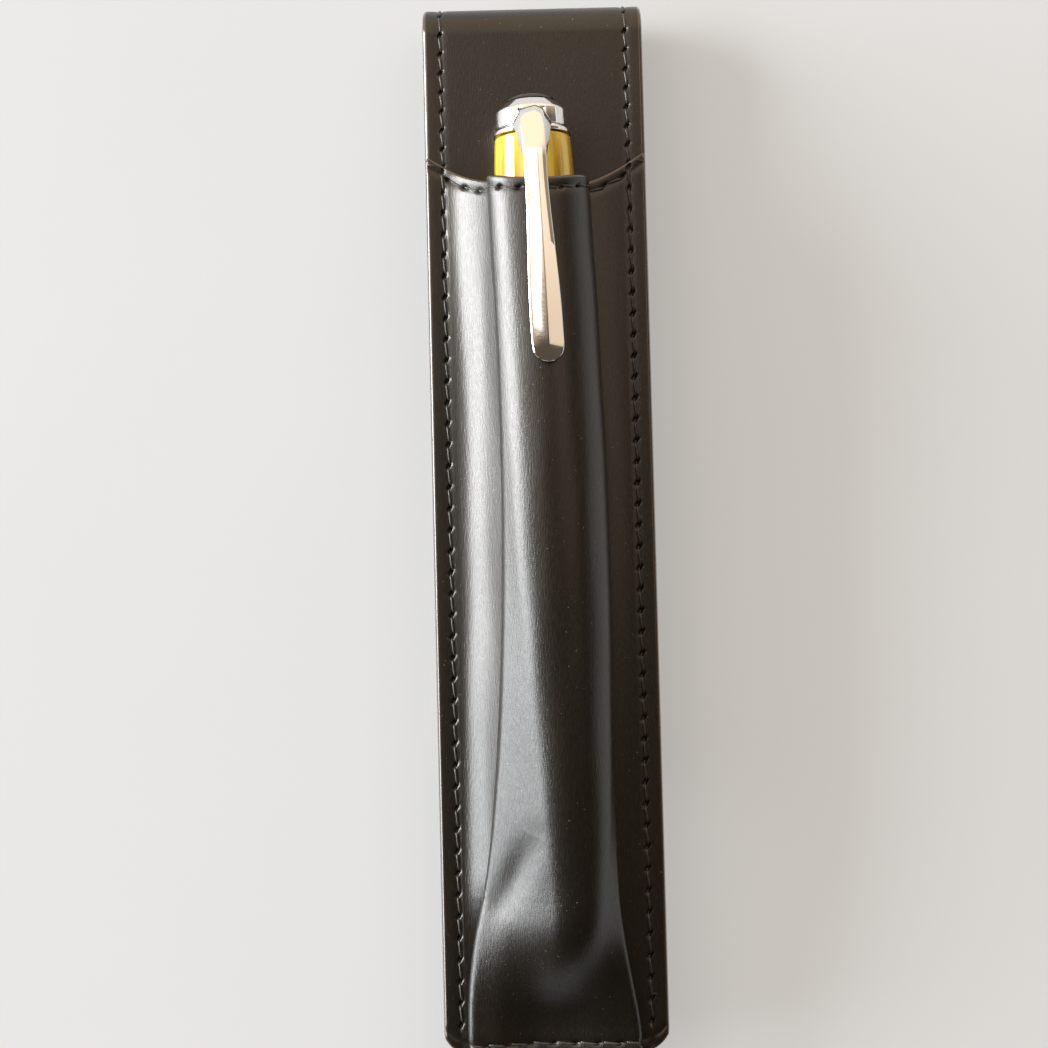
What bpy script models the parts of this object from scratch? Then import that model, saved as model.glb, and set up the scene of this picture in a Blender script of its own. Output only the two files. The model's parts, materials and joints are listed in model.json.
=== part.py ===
"""Leather pen case that straps over a hard cover, with the fountain pen that it carries.

The case lies on its rear flap with the pocket facing up: X runs across the strap, +Y towards the fold
over the cover's edge, and Z up. Lengths are in metres and angles in radians.
"""

import math

import bmesh
import bpy
from mathutils import Vector

# Strap, lining and rear flap
CASE_LENGTH = 0.1610
STRAP_WIDTH = 0.0340
OUTER_LEATHER = 0.0014
LINING_LEATHER = 0.0008
COVER_SLOT = 0.0050
FLAP_LENGTH = 0.1150
END_CORNER = 0.0048

# Gap between pieces that are glued, sewn or seated together, and the gap where one slides in another
SEAT_GAP = 0.0003
RUN_GAP = 0.0003

# Seams
THREAD_RADIUS = 0.0002
STITCH_PITCH = 0.0032
STITCH_CROWN = 0.0001
THREAD_RECESS = 0.0001
SEAM_INSET = 0.0027
GROOVE_FLANK = 0.00015
POCKET_GROOVE = 0.0005
TACK_LENGTH = 0.0016

# Pocket front: box pleats that a flat foot folds together and the pen pushes open
POCKET_LEATHER = 0.0010
MOUTH_BELOW_FOLD = 0.0240
MOUTH_DIP = 0.0063
MOUTH_BLEND = 0.0200
HEM_INSET = 0.0017
FACING_LEATHER = 0.0005
FACING_DEPTH = 0.0070
FACING_INSET = 0.0004
FACING_MARGIN = math.radians(8)
PLEAT_FOLD_RADIUS = 0.0007
SOFT_FOLD_RADIUS = 0.0034
SOFT_VALLEY_RADIUS = 0.0020
SOFT_UNTIL = 0.30
SHARP_FROM = 0.92
LEFT_PLEAT_INSET = 0.0015
LEFT_LEAN_AT_MOUTH = 0.0005
LEFT_LEAN_AT_TAIL = 0.0015
LEFT_FOLD_REACH = 0.0008
LEFT_FOLD_DROP = 0.0021
LEFT_LEAF_RISE = 0.0023
LEFT_LEAF_RISE_AT_TAIL = 0.0015
DOME_LEAVE = math.radians(20)
RIGHT_PLEAT_INSET = 0.0021
RIGHT_SPREAD_AT_TAIL = 0.30
RIGHT_SPREAD_DELAY = 1.2
RIGHT_LEAF_RISE = 0.0008
LEAF_SAG = 0.47
FOOT_LENGTH = 0.0045
FOOT_PRESS = 0.0013
FOOT_VALLEY_X = -0.0025
FOOT_VALLEY_REACH = 0.0100
BOTTOM_SEAM_INSET = 0.0021
DOME_END_ABOVE_LIP = 0.0120
CREST_AT_TAIL = 0.76
CREST_HOLD = 1.5
LEAST_BEND = math.radians(2)

# Fountain pen: its own frame has the cap's lip at the origin and the finial towards +Y
LIP_BELOW_MOUTH = 0.0565
PEN_LIP_X = 0.00115
PEN_LEAN = math.radians(1.6)
CAP_RADIUS = 0.0063
CAP_WALL = 0.0010
CAP_TOP_RADIUS = 0.0057
CAP_LENGTH = 0.0571
CAP_TAPER_LENGTH = 0.0061
CAP_STRAIGHT_SHARE = 0.6
CAP_SHOULDER_SHARE = 0.3
CAP_CROWN = 0.0022
LIP_BAND_LENGTH = 0.0040
LIP_BAND_WALL = 0.0006
CLIP_RING_HEIGHT = 0.0010
FINIAL_RADIUS = 0.0054
FINIAL_HEIGHT = 0.0039
FINIAL_DOME_RADIUS = 0.0039
FINIAL_DOME_HEIGHT = 0.0012
STUD_RADIUS = 0.0012
STUD_LENGTH = 0.0040
INNER_CAP_WALL = 0.0006
INNER_CAP_GAP = 0.0010
BARREL_LENGTH = 0.0545
BARREL_STEP = 0.0005
BARREL_END_RADIUS = 0.0033
BARREL_BORE_RADIUS = 0.0037
BARREL_BORE_STRAIGHT = 0.75
BARREL_END_WALL = 0.0042
BARREL_BOW = ((0.50, 0.20), (0.85, 0.62))
TAIL_LENGTH = 0.0021
SECTION_LENGTH = 0.0195
SECTION_WAIST = 0.0005
SECTION_WAIST_SHARE = 0.65
SPIGOT_LENGTH = 0.0090
SECTION_RING_HEIGHT = 0.0011
FEED_RADIUS = 0.0023
FEED_LENGTH = 0.0300
FEED_FINS = 6
FEED_FIN_PITCH = 0.0013
FEED_FIN_DEPTH = 0.0005
NIB_THICKNESS = 0.0004
NIB_LENGTH = 0.0270
NIB_SHOULDER = 0.0034
NIB_TIP_WIDTH = 0.0009
NIB_SLIT = 0.00025
NIB_BREATHER = 0.0011
NIB_SLIT_SHARE = 0.55
NIB_HUG = math.radians(80)
NIB_FLARE_SHARE = 0.28
NIB_SHOULDER_SHARE = 0.42
NIB_TAPER_SHARE = 0.62
NIB_TIP_DROP = 0.45
NIB_FLATTEN = 0.3
CONVERTER_RADIUS = 0.0030
CONVERTER_NOZZLE = 0.0016
NOZZLE_LENGTH = 0.0060
KNOB_RADIUS = 0.0021
KNOB_LENGTH = 0.0065
KNOB_ROOM = 0.0042
KNOB_RIDGES = 10
KNOB_RIDGE_DEPTH = 0.0002

# Clip: a spoon with a ridge along its back and cheeks turned down beside its root
CLIP_LENGTH = 0.0378
CLIP_THICKNESS = 0.0005
CLIP_RIDGE = 0.0005
CLIP_ROOT_WIDTH = 0.0036
CLIP_NECK_WIDTH = 0.0033
CLIP_SPOON_WIDTH = 0.0047
CLIP_RIDGE_AT_ROOT = 0.64
CLIP_RIDGE_AT_TIP = 0.50
CLIP_CHEEK_LENGTH = 0.0078
CLIP_CHEEK_DEPTH = 0.0017
CLIP_CHEEK_CLIMB = 0.0014
CLIP_CHEEK_SPLAY = 0.75
CLIP_WALL_SHARE = 0.2
CLIP_SWAY = math.radians(1.0)
CLIP_CLEARANCE = 0.0006
CLIP_ARCH = 0.0004
CLIP_ROOT_DEPTH = 0.0012
CLIP_BALL = 0.0005
CLIP_TIP_FLAT = 0.25
CLIP_NECK_SHARE = 0.26
CLIP_SPOON_SHARE = 0.84
CLIP_BALL_SHARE = 0.86
CLIP_BALL_END_SHARE = 0.94

# Smoothness of the turned and folded forms
TURN_STEPS = 24
FOLD_STEPS = 10
CORNER_STEPS = 4
LEAF_STEPS = 6
VALLEY_STEPS = 5
FRONT_STEPS = 13
DENSE_STEPS = 40
STITCH_STEPS = 4
MOUTH_ROW_SHARE = 0.6
DOME_ROWS = 6
FOOT_ROWS = 7
BEND_WEIGHT = 0.0012
BOW_STEPS = 5
BREATHER_STEPS = 12
NIB_STEPS = 14
NIB_COLUMNS = 8
CLIP_KNEE_STEPS = 6
CLIP_STEPS = 8
CLIP_TIP_STEPS = 5
SHARP_ANGLE = math.radians(35)
CLIP_SHARP_ANGLE = math.radians(20)
TINY = 1e-6

# Colour, roughness and metallic value of each finish
BLACK_LEATHER = ((0.020, 0.017, 0.015), 0.28, 0.0)
LINING = ((0.030, 0.027, 0.024), 0.62, 0.0)
THREAD = ((0.012, 0.012, 0.012), 0.45, 0.0)
CHROME = ((0.86, 0.85, 0.82), 0.08, 1.0)
YELLOW_RESIN = ((0.72, 0.52, 0.02), 0.12, 0.0)
BLACK_RESIN = ((0.010, 0.010, 0.010), 0.10, 0.0)
NIB_STEEL = ((0.74, 0.72, 0.68), 0.20, 1.0)
FEED_PLASTIC = ((0.015, 0.015, 0.016), 0.50, 0.0)
CLEAR_PLASTIC = ((0.80, 0.82, 0.82), 0.10, 0.0)

# Levels and places worked out from the driving dimensions
HALF_WIDTH = STRAP_WIDTH / 2
STACK = OUTER_LEATHER + SEAT_GAP + LINING_LEATHER
FOLD_RADIUS = STACK + COVER_SLOT / 2
FOLD_Y = CASE_LENGTH / 2 - FOLD_RADIUS
FOLD_Z = FOLD_RADIUS
BOTTOM_Y = -CASE_LENGTH / 2
FLAP_END_Y = FOLD_Y - FLAP_LENGTH
STRAP_TOP_Z = 2 * FOLD_RADIUS
NEUTRAL_RADIUS = FOLD_RADIUS - STACK / 2
HINGE = Vector((0, FOLD_Y + 2 * NEUTRAL_RADIUS / math.pi, FOLD_Z))

SEAM_X = HALF_WIDTH - SEAM_INSET
THREAD_SEAT = SEAT_GAP + THREAD_RADIUS
GROOVE_FLOOR = 2 * (THREAD_RADIUS + SEAT_GAP)
GROOVE_TOP = GROOVE_FLOOR + 2 * GROOVE_FLANK
STRAP_GROOVE = THREAD_SEAT + STITCH_CROWN + THREAD_RADIUS + THREAD_RECESS

MOUTH_Y = CASE_LENGTH / 2 - MOUTH_BELOW_FOLD
FLANGE_Z = STRAP_TOP_Z + SEAT_GAP + POCKET_LEATHER / 2
FACING_RADIUS = CAP_RADIUS + RUN_GAP + FACING_LEATHER / 2
DOME_RADIUS = FACING_RADIUS + FACING_LEATHER / 2 + SEAT_GAP + POCKET_LEATHER / 2
PEN_Z = STRAP_TOP_Z + RUN_GAP + CAP_RADIUS
DOME_Z = PEN_Z + DOME_RADIUS
LEFT_PLEAT_X = SEAM_X - LEFT_PLEAT_INSET
RIGHT_PLEAT_X = SEAM_X - RIGHT_PLEAT_INSET
PLEAT_EDGE_Z = FLANGE_Z + 3 * PLEAT_FOLD_RADIUS
FOOT_Z = FLANGE_Z + 4 * PLEAT_FOLD_RADIUS
PEN_LIP_Y = MOUTH_Y - LIP_BELOW_MOUTH
DOME_END_Y = PEN_LIP_Y + DOME_END_ABOVE_LIP
TAIL_Y = PEN_LIP_Y - BARREL_LENGTH - TAIL_LENGTH
FOOT_Y = BOTTOM_Y + FOOT_LENGTH

CAP_BORE = CAP_RADIUS - CAP_WALL
SECTION_RADIUS = CAP_BORE - RUN_GAP
BARREL_RADIUS = CAP_RADIUS - BARREL_STEP
SPIGOT_RADIUS = BARREL_BORE_RADIUS - SEAT_GAP
NIB_RADIUS = FEED_RADIUS + SEAT_GAP + NIB_THICKNESS / 2
NIB_SEAT_RADIUS = NIB_RADIUS + NIB_THICKNESS / 2 + SEAT_GAP
FEED_SEAT_RADIUS = FEED_RADIUS + SEAT_GAP
NOZZLE_BORE = CONVERTER_NOZZLE + SEAT_GAP
STUD_BORE = STUD_RADIUS + SEAT_GAP
CAP_SHOULDER = CAP_LENGTH - CAP_TAPER_LENGTH
CAP_BORE_END = CAP_LENGTH - CAP_CROWN
CLIP_RING_Y = CAP_LENGTH + SEAT_GAP
FINIAL_Y = CLIP_RING_Y + CLIP_RING_HEIGHT + SEAT_GAP
CLIP_Y = FINIAL_Y + CLIP_ROOT_DEPTH
CLIP_ROOT_RADIUS = FINIAL_RADIUS - CLIP_ROOT_DEPTH
CLIP_UNDERSIDE = DOME_RADIUS + POCKET_LEATHER / 2 + CLIP_CLEARANCE
RING_Y = SECTION_LENGTH + SEAT_GAP
RING_END_Y = RING_Y + SECTION_RING_HEIGHT
NIB_BASE_Y = RING_END_Y - NIB_LENGTH / 4
CONVERTER_Y = -SPIGOT_LENGTH - SEAT_GAP
KNOB_END_Y = BARREL_END_WALL + KNOB_ROOM - BARREL_LENGTH
KNOB_Y = KNOB_END_Y + KNOB_LENGTH
CONVERTER_END_Y = KNOB_Y + SEAT_GAP


def clear_scene():
    for old in list(bpy.data.objects):
        bpy.data.objects.remove(old, do_unlink=True)


def mix(start, end, share):
    return start + (end - start) * share


def clamp(value):
    return min(1.0, max(0.0, value))


def ease(value):
    value = clamp(value)
    return value * value * (3 - 2 * value)


def bezier(control, shares):
    """Points at these shares of the way along a curve of any degree."""
    points = []
    for share in shares:
        level = [Vector(point) for point in control]
        while len(level) > 1:
            level = [a.lerp(b, share) for a, b in zip(level, level[1:])]
        points.append(level[0])
    return points


def make_material(name, finish):
    colour, roughness, metallic = finish
    material = bpy.data.materials.new(name)
    material.use_nodes = True
    shader = material.node_tree.nodes["Principled BSDF"]
    shader.inputs["Base Color"].default_value = (*colour, 1)
    shader.inputs["Roughness"].default_value = roughness
    shader.inputs["Metallic"].default_value = metallic
    return material


def place_piece(name, data, finish, parent=None):
    piece = bpy.data.objects.new(name, data)
    data.materials.append(make_material(name, finish))
    bpy.context.scene.collection.objects.link(piece)
    piece.parent = parent
    return piece


def make_empty(name, location, parent=None):
    empty = bpy.data.objects.new(name, None)
    empty.location = location
    empty.parent = parent
    bpy.context.scene.collection.objects.link(empty)
    return empty


def finish_mesh(name, mesh_data, finish, parent=None, sharp=SHARP_ANGLE):
    """Turn a filled bmesh into a smooth-shaded piece with its faces pointing out."""
    bmesh.ops.recalc_face_normals(mesh_data, faces=mesh_data.faces)
    mesh = bpy.data.meshes.new(name)
    mesh_data.to_mesh(mesh)
    mesh_data.free()
    mesh.shade_smooth()
    mesh.set_sharp_from_angle(angle=sharp)
    return place_piece(name, mesh, finish, parent)


def shell(name, upper, lower, finish, parent=None):
    """Close two matching grids of points, one over the other, into one solid sheet."""
    work = bmesh.new()
    top = [[work.verts.new(point) for point in row] for row in upper]
    low = [[work.verts.new(point) for point in row] for row in lower]
    for i in range(len(top) - 1):
        for j in range(len(top[0]) - 1):
            work.faces.new((top[i][j], top[i][j + 1], top[i + 1][j + 1], top[i + 1][j]))
            work.faces.new((low[i][j], low[i + 1][j], low[i + 1][j + 1], low[i][j + 1]))
    for row in (0, -1):
        for j in range(len(top[0]) - 1):
            work.faces.new((top[row][j], low[row][j], low[row][j + 1], top[row][j + 1]))
    for column in (0, -1):
        for i in range(len(top) - 1):
            work.faces.new((top[i][column], low[i][column], low[i + 1][column], top[i + 1][column]))
    return finish_mesh(name, work, finish, parent)


def turned(name, profile, finish, parent=None, steps=TURN_STEPS):
    """Spin a closed outline of (distance along Y, radius) about the Y axis."""
    work = bmesh.new()
    corners = [work.verts.new((radius, along, 0)) for along, radius in profile]
    on_axis = [radius < TINY for _, radius in profile]
    edges = []
    for i, corner in enumerate(corners):
        following = (i + 1) % len(corners)
        if not (on_axis[i] and on_axis[following]):
            edges.append(work.edges.new((corner, corners[following])))
    bmesh.ops.spin(work, geom=corners + edges, cent=(0, 0, 0), axis=(0, 1, 0), angle=2 * math.pi,
                   steps=steps, use_merge=True)
    bmesh.ops.remove_doubles(work, verts=work.verts, dist=TINY)
    return finish_mesh(name, work, finish, parent)


def tube(name, points, finish, parent=None):
    """A thread along a run of points."""
    curve = bpy.data.curves.new(name, "CURVE")
    curve.dimensions = "3D"
    curve.bevel_depth = THREAD_RADIUS
    curve.bevel_resolution = 0
    curve.use_fill_caps = True
    spline = curve.splines.new("POLY")
    spline.points.add(len(points) - 1)
    for spot, point in zip(spline.points, points):
        spot.co = (*point, 1)
    return place_piece(name, curve, finish, parent)


def cut_away(piece, cutter_name, cutter_mesh):
    """Take a hidden cutter's shape out of a piece."""
    cutter = bpy.data.objects.new(cutter_name, cutter_mesh)
    cutter.hide_render = True
    cutter.display_type = "WIRE"
    cutter.parent = piece.parent
    bpy.context.scene.collection.objects.link(cutter)
    cut = piece.modifiers.new(cutter_name, "BOOLEAN")
    cut.operation = "DIFFERENCE"
    cut.object = cutter


def block_mesh(name, low, high):
    work = bmesh.new()
    bmesh.ops.create_cube(work, size=1)
    for corner in work.verts:
        corner.co = [mix(low[k], high[k], corner.co[k] + 0.5) for k in range(3)]
    mesh = bpy.data.meshes.new(name)
    work.to_mesh(mesh)
    work.free()
    return mesh


def groove_share(distance):
    """How much of a stitch groove's depth is cut at this distance from its middle line."""
    return clamp((GROOVE_TOP / 2 - abs(distance)) / GROOVE_FLANK)


def groove_lines(middle):
    return [middle + side * width / 2 for side in (-1, 1) for width in (GROOVE_FLOOR, GROOVE_TOP)]


def sorted_apart(values, least=10 * TINY):
    """Values in order, leaving out any that nearly repeats the one before it."""
    kept = []
    for value in sorted(values):
        if not kept or value - kept[-1] > least:
            kept.append(value)
    return kept


def corner_rise(x):
    """How far the rounded end of the strap stands back from its end line at this place across it."""
    past = max(0.0, abs(x) - (HALF_WIDTH - END_CORNER))
    return END_CORNER - math.sqrt(max(0.0, END_CORNER ** 2 - past ** 2))


def corner_columns():
    turns = [math.pi / 2 * step / CORNER_STEPS for step in range(CORNER_STEPS + 1)]
    places = [HALF_WIDTH - END_CORNER + END_CORNER * math.sin(turn) for turn in turns]
    return places + [-place for place in places]


def strap_columns():
    return sorted_apart(corner_columns() + groove_lines(SEAM_X) + groove_lines(-SEAM_X))


def leather_strip(name, rows, place, thickness, groove, finish, parent=None):
    """A strip of leather: place(row, x, depth) gives the point at a depth above its inner face."""
    columns = strap_columns()
    upper = [[place(row, x, thickness - groove(row, x)) for x in columns] for row in rows]
    lower = [[place(row, x, 0) for x in columns] for row in rows]
    return shell(name, upper, lower, finish, parent)


def no_groove(row, x):
    return 0.0


def side_groove(row, x):
    return STRAP_GROOVE * groove_share(abs(x) - SEAM_X)


def build_strap():
    """Front strap under the pocket, with its lining on the cover's side."""
    start = FOLD_Y - SEAT_GAP

    def placed(base):
        def place(row, x, depth):
            y = start if row == 0 else BOTTOM_Y + corner_rise(x)
            return Vector((x, y, base + depth))
        return place

    lining_z = STACK + COVER_SLOT
    leather_z = lining_z + LINING_LEATHER + SEAT_GAP
    leather_strip("strap_lining", (0, 1), placed(lining_z), LINING_LEATHER, no_groove, LINING)
    leather_strip("strap_outer", (0, 1), placed(leather_z), OUTER_LEATHER, side_groove, BLACK_LEATHER)


def build_fold():
    """The turn of both leathers over the cover's edge."""
    def placed(radius):
        def place(row, x, depth):
            turn = math.pi * row / FOLD_STEPS
            reach = radius + depth
            return Vector((x, FOLD_Y + reach * math.sin(turn), FOLD_Z + reach * math.cos(turn)))
        return place

    rows = range(FOLD_STEPS + 1)
    lining_radius = COVER_SLOT / 2
    leather_radius = lining_radius + LINING_LEATHER + SEAT_GAP
    leather_strip("fold_lining", rows, placed(lining_radius), LINING_LEATHER, no_groove, LINING)
    leather_strip("fold_outer", rows, placed(leather_radius), OUTER_LEATHER, side_groove, BLACK_LEATHER)


def build_flap(hinge):
    """Rear flap that lies behind the cover, sewn along both sides and across its end."""
    start = FOLD_Y - SEAT_GAP
    seam_y = FLAP_END_Y + SEAM_INSET
    rows = [start] + sorted(groove_lines(seam_y), reverse=True) + [FLAP_END_Y]

    def placed(base):
        def place(row, x, depth):
            share = (row - FLAP_END_Y) / (start - FLAP_END_Y)
            rise = corner_rise(x) * (1 - share)
            return Vector((x, row + rise, base - depth)) - HINGE
        return place

    def groove(row, x):
        across = groove_share(row - seam_y) if abs(x) < SEAM_X else 0.0
        return max(side_groove(row, x), STRAP_GROOVE * across)

    leather_strip("flap_lining", rows, placed(STACK), LINING_LEATHER, no_groove, LINING, hinge)
    leather_strip("flap_outer", rows, placed(OUTER_LEATHER), OUTER_LEATHER, groove, BLACK_LEATHER, hinge)


def stitch_run(start, end, up):
    """Wavy points of a sewn run: low at each hole and a little proud between holes."""
    run = end - start
    stitches = max(1, round(run.length / STITCH_PITCH))
    points = []
    for step in range(2 * stitches + 1):
        lift = THREAD_SEAT + STITCH_CROWN * (step % 2)
        points.append(start + run * (step / (2 * stitches)) + up * lift)
    return points


def build_strap_threads(hinge):
    """Side seams above the pocket, round the fold and along the rear flap."""
    floor_z = STRAP_TOP_Z - STRAP_GROOVE
    mouth = mouth_edge(SEAM_X) + SEAT_GAP + THREAD_RADIUS
    up = Vector((0, 0, 1))
    for side, word in ((-1, "left"), (1, "right")):
        x = side * SEAM_X
        points = stitch_run(Vector((x, FOLD_Y - SEAT_GAP, floor_z)), Vector((x, mouth, floor_z)), up)
        tube("strap_thread_" + word, points, THREAD)
        turns = 2 * max(1, round(math.pi * FOLD_RADIUS / STITCH_PITCH))
        arc = []
        for step in range(turns + 1):
            turn = math.pi * step / turns
            reach = FOLD_RADIUS - STRAP_GROOVE + THREAD_SEAT + STITCH_CROWN * (step % 2)
            arc.append(Vector((x, FOLD_Y + reach * math.sin(turn), FOLD_Z + reach * math.cos(turn))))
        tube("fold_thread_" + word, arc, THREAD)
    corners = [Vector((side * SEAM_X, y, STRAP_GROOVE)) - HINGE
               for side, y in ((-1, FOLD_Y - SEAT_GAP), (-1, FLAP_END_Y + SEAM_INSET),
                               (1, FLAP_END_Y + SEAM_INSET), (1, FOLD_Y - SEAT_GAP))]
    points = []
    for start, end in zip(corners, corners[1:]):
        points = points[:-1] + stitch_run(start, end, -up)
    tube("flap_thread", points, THREAD, hinge)


def pen_x(y):
    """Place across the strap of the pen's leaning axis."""
    return PEN_LIP_X - (y - PEN_LIP_Y) * math.tan(PEN_LEAN)


def mouth_edge(x):
    """Level of the pocket's curved mouth at this place across it."""
    return MOUTH_Y - MOUTH_DIP * (1 - (x / HALF_WIDTH) ** 2)


def polar(centre, radius, start, end, steps):
    turns = [mix(start, end, step / steps) for step in range(steps + 1)]
    return [Vector((centre[0] + radius * math.cos(turn), centre[1] + radius * math.sin(turn)))
            for turn in turns]


def spread_points(dense, count, bend_weight=BEND_WEIGHT):
    """Pick points along a dense line, closer together where it bends."""
    travel = [0.0]
    for i in range(1, len(dense)):
        step = dense[i] - dense[i - 1]
        before = dense[i - 1] - dense[i - 2] if i > 1 else step
        bend = before.angle(step) if min(before.length, step.length) > TINY else 0
        travel.append(travel[-1] + step.length + bend_weight * bend)
    picked = []
    at = 1
    for i in range(count + 1):
        goal = travel[-1] * i / count
        while at < len(dense) - 1 and travel[at] < goal:
            at += 1
        gap = travel[at] - travel[at - 1]
        share = clamp((goal - travel[at - 1]) / gap) if gap > 0 else 0
        picked.append(dense[at - 1].lerp(dense[at], share))
    return picked


def left_pleat(upper, lower, crest, crest_radius):
    """End of the left leaf and its valley's radius, then the middle and radius of the fold in front of it."""
    soft = 1 - ease((upper - SOFT_UNTIL) / (SHARP_FROM - SOFT_UNTIL))
    fold = mix(PLEAT_FOLD_RADIUS, SOFT_FOLD_RADIUS, soft)
    share = upper ** 2
    opening = lower * (2 - lower)
    on_dome = crest + (crest_radius - fold) * Vector((math.cos(DOME_LEAVE), math.sin(DOME_LEAVE)))
    fold_x = mix(mix(on_dome.x, DOME_RADIUS + LEFT_FOLD_REACH, share), LEFT_PLEAT_X - fold, opening)
    fold_z = mix(mix(on_dome.y, PEN_Z - LEFT_FOLD_DROP, share ** 2), PLEAT_EDGE_Z, lower)
    lean = mix(mix(LEFT_LEAN_AT_MOUTH, LEFT_LEAN_AT_TAIL, upper), PLEAT_FOLD_RADIUS, lower)
    rise = mix(LEFT_LEAF_RISE, LEFT_LEAF_RISE_AT_TAIL, share) * (1 - opening)
    leaf_end = Vector((DOME_RADIUS + lean, FLANGE_Z + rise))
    return leaf_end, mix(PLEAT_FOLD_RADIUS, SOFT_VALLEY_RADIUS, soft), Vector((fold_x, fold_z)), fold


def right_pleat(upper, lower, y):
    """The same for the right side, whose wall stands straight behind a sharp valley."""
    spread = mix(RIGHT_SPREAD_AT_TAIL * upper ** 2, 1, lower ** RIGHT_SPREAD_DELAY)
    wall = DOME_RADIUS + pen_x(y) * (1 - ease(upper))
    leaf_end = Vector((wall + PLEAT_FOLD_RADIUS, FLANGE_Z + RIGHT_LEAF_RISE * (1 - spread)))
    fold_x = mix(wall, RIGHT_PLEAT_X, spread) - PLEAT_FOLD_RADIUS
    fold_z = mix(PEN_Z, PLEAT_EDGE_Z, spread ** 2)
    return leaf_end, PLEAT_FOLD_RADIUS, Vector((fold_x, fold_z)), PLEAT_FOLD_RADIUS


def pocket_half(y, side):
    """Middle line of half the pocket's section, from the strap's edge over the pleat to the crest."""
    upper = clamp((DOME_END_Y - y) / (DOME_END_Y - TAIL_Y))
    lower = clamp((TAIL_Y - y) / (TAIL_Y - FOOT_Y))
    held = 1 - (1 - CREST_AT_TAIL) * upper ** 2
    crest_radius = mix(FOOT_Z, DOME_Z, held) - PEN_Z
    crest_z = mix(FOOT_Z, DOME_Z, held * (1 - ease(lower) ** CREST_HOLD))
    crest = Vector((side * pen_x(y) * (1 - ease(lower)), crest_z - crest_radius))
    if side < 0:
        leaf_end, valley, turn_out, fold = left_pleat(upper, lower, crest, crest_radius)
    else:
        leaf_end, valley, turn_out, fold = right_pleat(upper, lower, y)

    flange = [place for place in strap_columns() if place > SEAM_X - GROOVE_TOP / 2 - TINY]
    points = [Vector((place, FLANGE_Z)) for place in reversed(flange)]
    sag_run = LEAF_SAG * (flange[0] - leaf_end.x)
    points += bezier([points[-1], (leaf_end.x + sag_run, FLANGE_Z), leaf_end],
                     [step / LEAF_STEPS for step in range(1, LEAF_STEPS)])
    tilt = math.atan2(leaf_end.y - FLANGE_Z, sag_run)
    turn_in = leaf_end + valley * Vector((math.sin(tilt), math.cos(tilt)))
    between = turn_out - turn_in
    slope = math.atan2(between.y, between.x) - math.asin(min(1, (valley + fold) / between.length))
    points += polar(turn_in, valley, 1.5 * math.pi - tilt, 0.5 * math.pi + slope, VALLEY_STEPS)

    reach = turn_out - crest
    leave = math.atan2(reach.y, reach.x)
    leave += math.acos(min(1, (crest_radius - fold) / reach.length))
    leave = min(leave, math.pi / 2 - LEAST_BEND)
    arrive = min(slope - math.pi / 2, leave - LEAST_BEND)
    front = points[-1:] + polar(turn_out, fold, arrive, leave, DENSE_STEPS)
    front += polar(crest, crest_radius, leave, math.pi / 2, DENSE_STEPS)
    press = FOOT_PRESS * ease(2 * lower - 1)
    for point in spread_points(front, FRONT_STEPS)[1:]:
        drop = press * foot_valley(side * point.x) if point.y > turn_out.y else 0
        points.append(point - Vector((0, drop)))
    return [Vector((side * point.x, point.y)) for point in points]


def foot_valley(x):
    """How deep the front is pressed down between the pleats of the foot, as a share."""
    end = FOOT_VALLEY_REACH if x > FOOT_VALLEY_X else -FOOT_VALLEY_REACH
    return ease((end - x) / (end - FOOT_VALLEY_X))


def pocket_section(y):
    """The whole section's middle line from left to right, and its outward normals."""
    line = pocket_half(y, -1) + pocket_half(y, 1)[-2::-1]
    normals = []
    for i, point in enumerate(line):
        before = (point - line[i - 1]).normalized() if i else None
        after = (line[i + 1] - point).normalized() if i + 1 < len(line) else None
        ahead = after if before is None else before if after is None else (before + after).normalized()
        normal = Vector((-ahead.y, ahead.x))
        if before is not None and after is not None:
            normal /= max(0.5, math.cos(before.angle(after) / 2))
        normals.append(normal)
    return line, normals


def pocket_levels():
    """Levels of the pocket's rows from its mouth down, each with its distance from the mouth's edge."""
    hem = [0.0] + sorted(groove_lines(HEM_INSET)) + [FACING_DEPTH, MOUTH_BLEND]
    levels = [MOUTH_Y - distance for distance in hem]
    levels += [mix(levels[-1], DOME_END_Y, share) for share in (MOUTH_ROW_SHARE, 1)]
    levels += [mix(DOME_END_Y, TAIL_Y, step / DOME_ROWS) for step in range(1, DOME_ROWS)]
    levels += [mix(TAIL_Y, FOOT_Y, step / FOOT_ROWS) for step in range(FOOT_ROWS + 1)]
    seam = sorted(groove_lines(BOTTOM_Y + BOTTOM_SEAM_INSET), reverse=True)
    return levels + seam + [BOTTOM_Y]


def row_shift(y, x):
    """How far a row's point moves along Y to follow the curved mouth and the rounded end."""
    below = MOUTH_Y - y
    dip = MOUTH_Y - mouth_edge(x)
    near_mouth = 1 - ease((below - FACING_DEPTH) / MOUTH_BLEND)
    near_end = 1 - clamp((y - BOTTOM_Y) / END_CORNER)
    return corner_rise(x) * near_end - dip * near_mouth


def front_panel(line):
    """Places in the section's line from one pleat's outer fold over the front panel to the other's."""
    left = right = len(line) // 2
    while left > 0 and line[left - 1].x < line[left].x:
        left -= 1
    while right < len(line) - 1 and line[right + 1].x > line[right].x:
        right += 1
    return range(left, right + 1)


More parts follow.
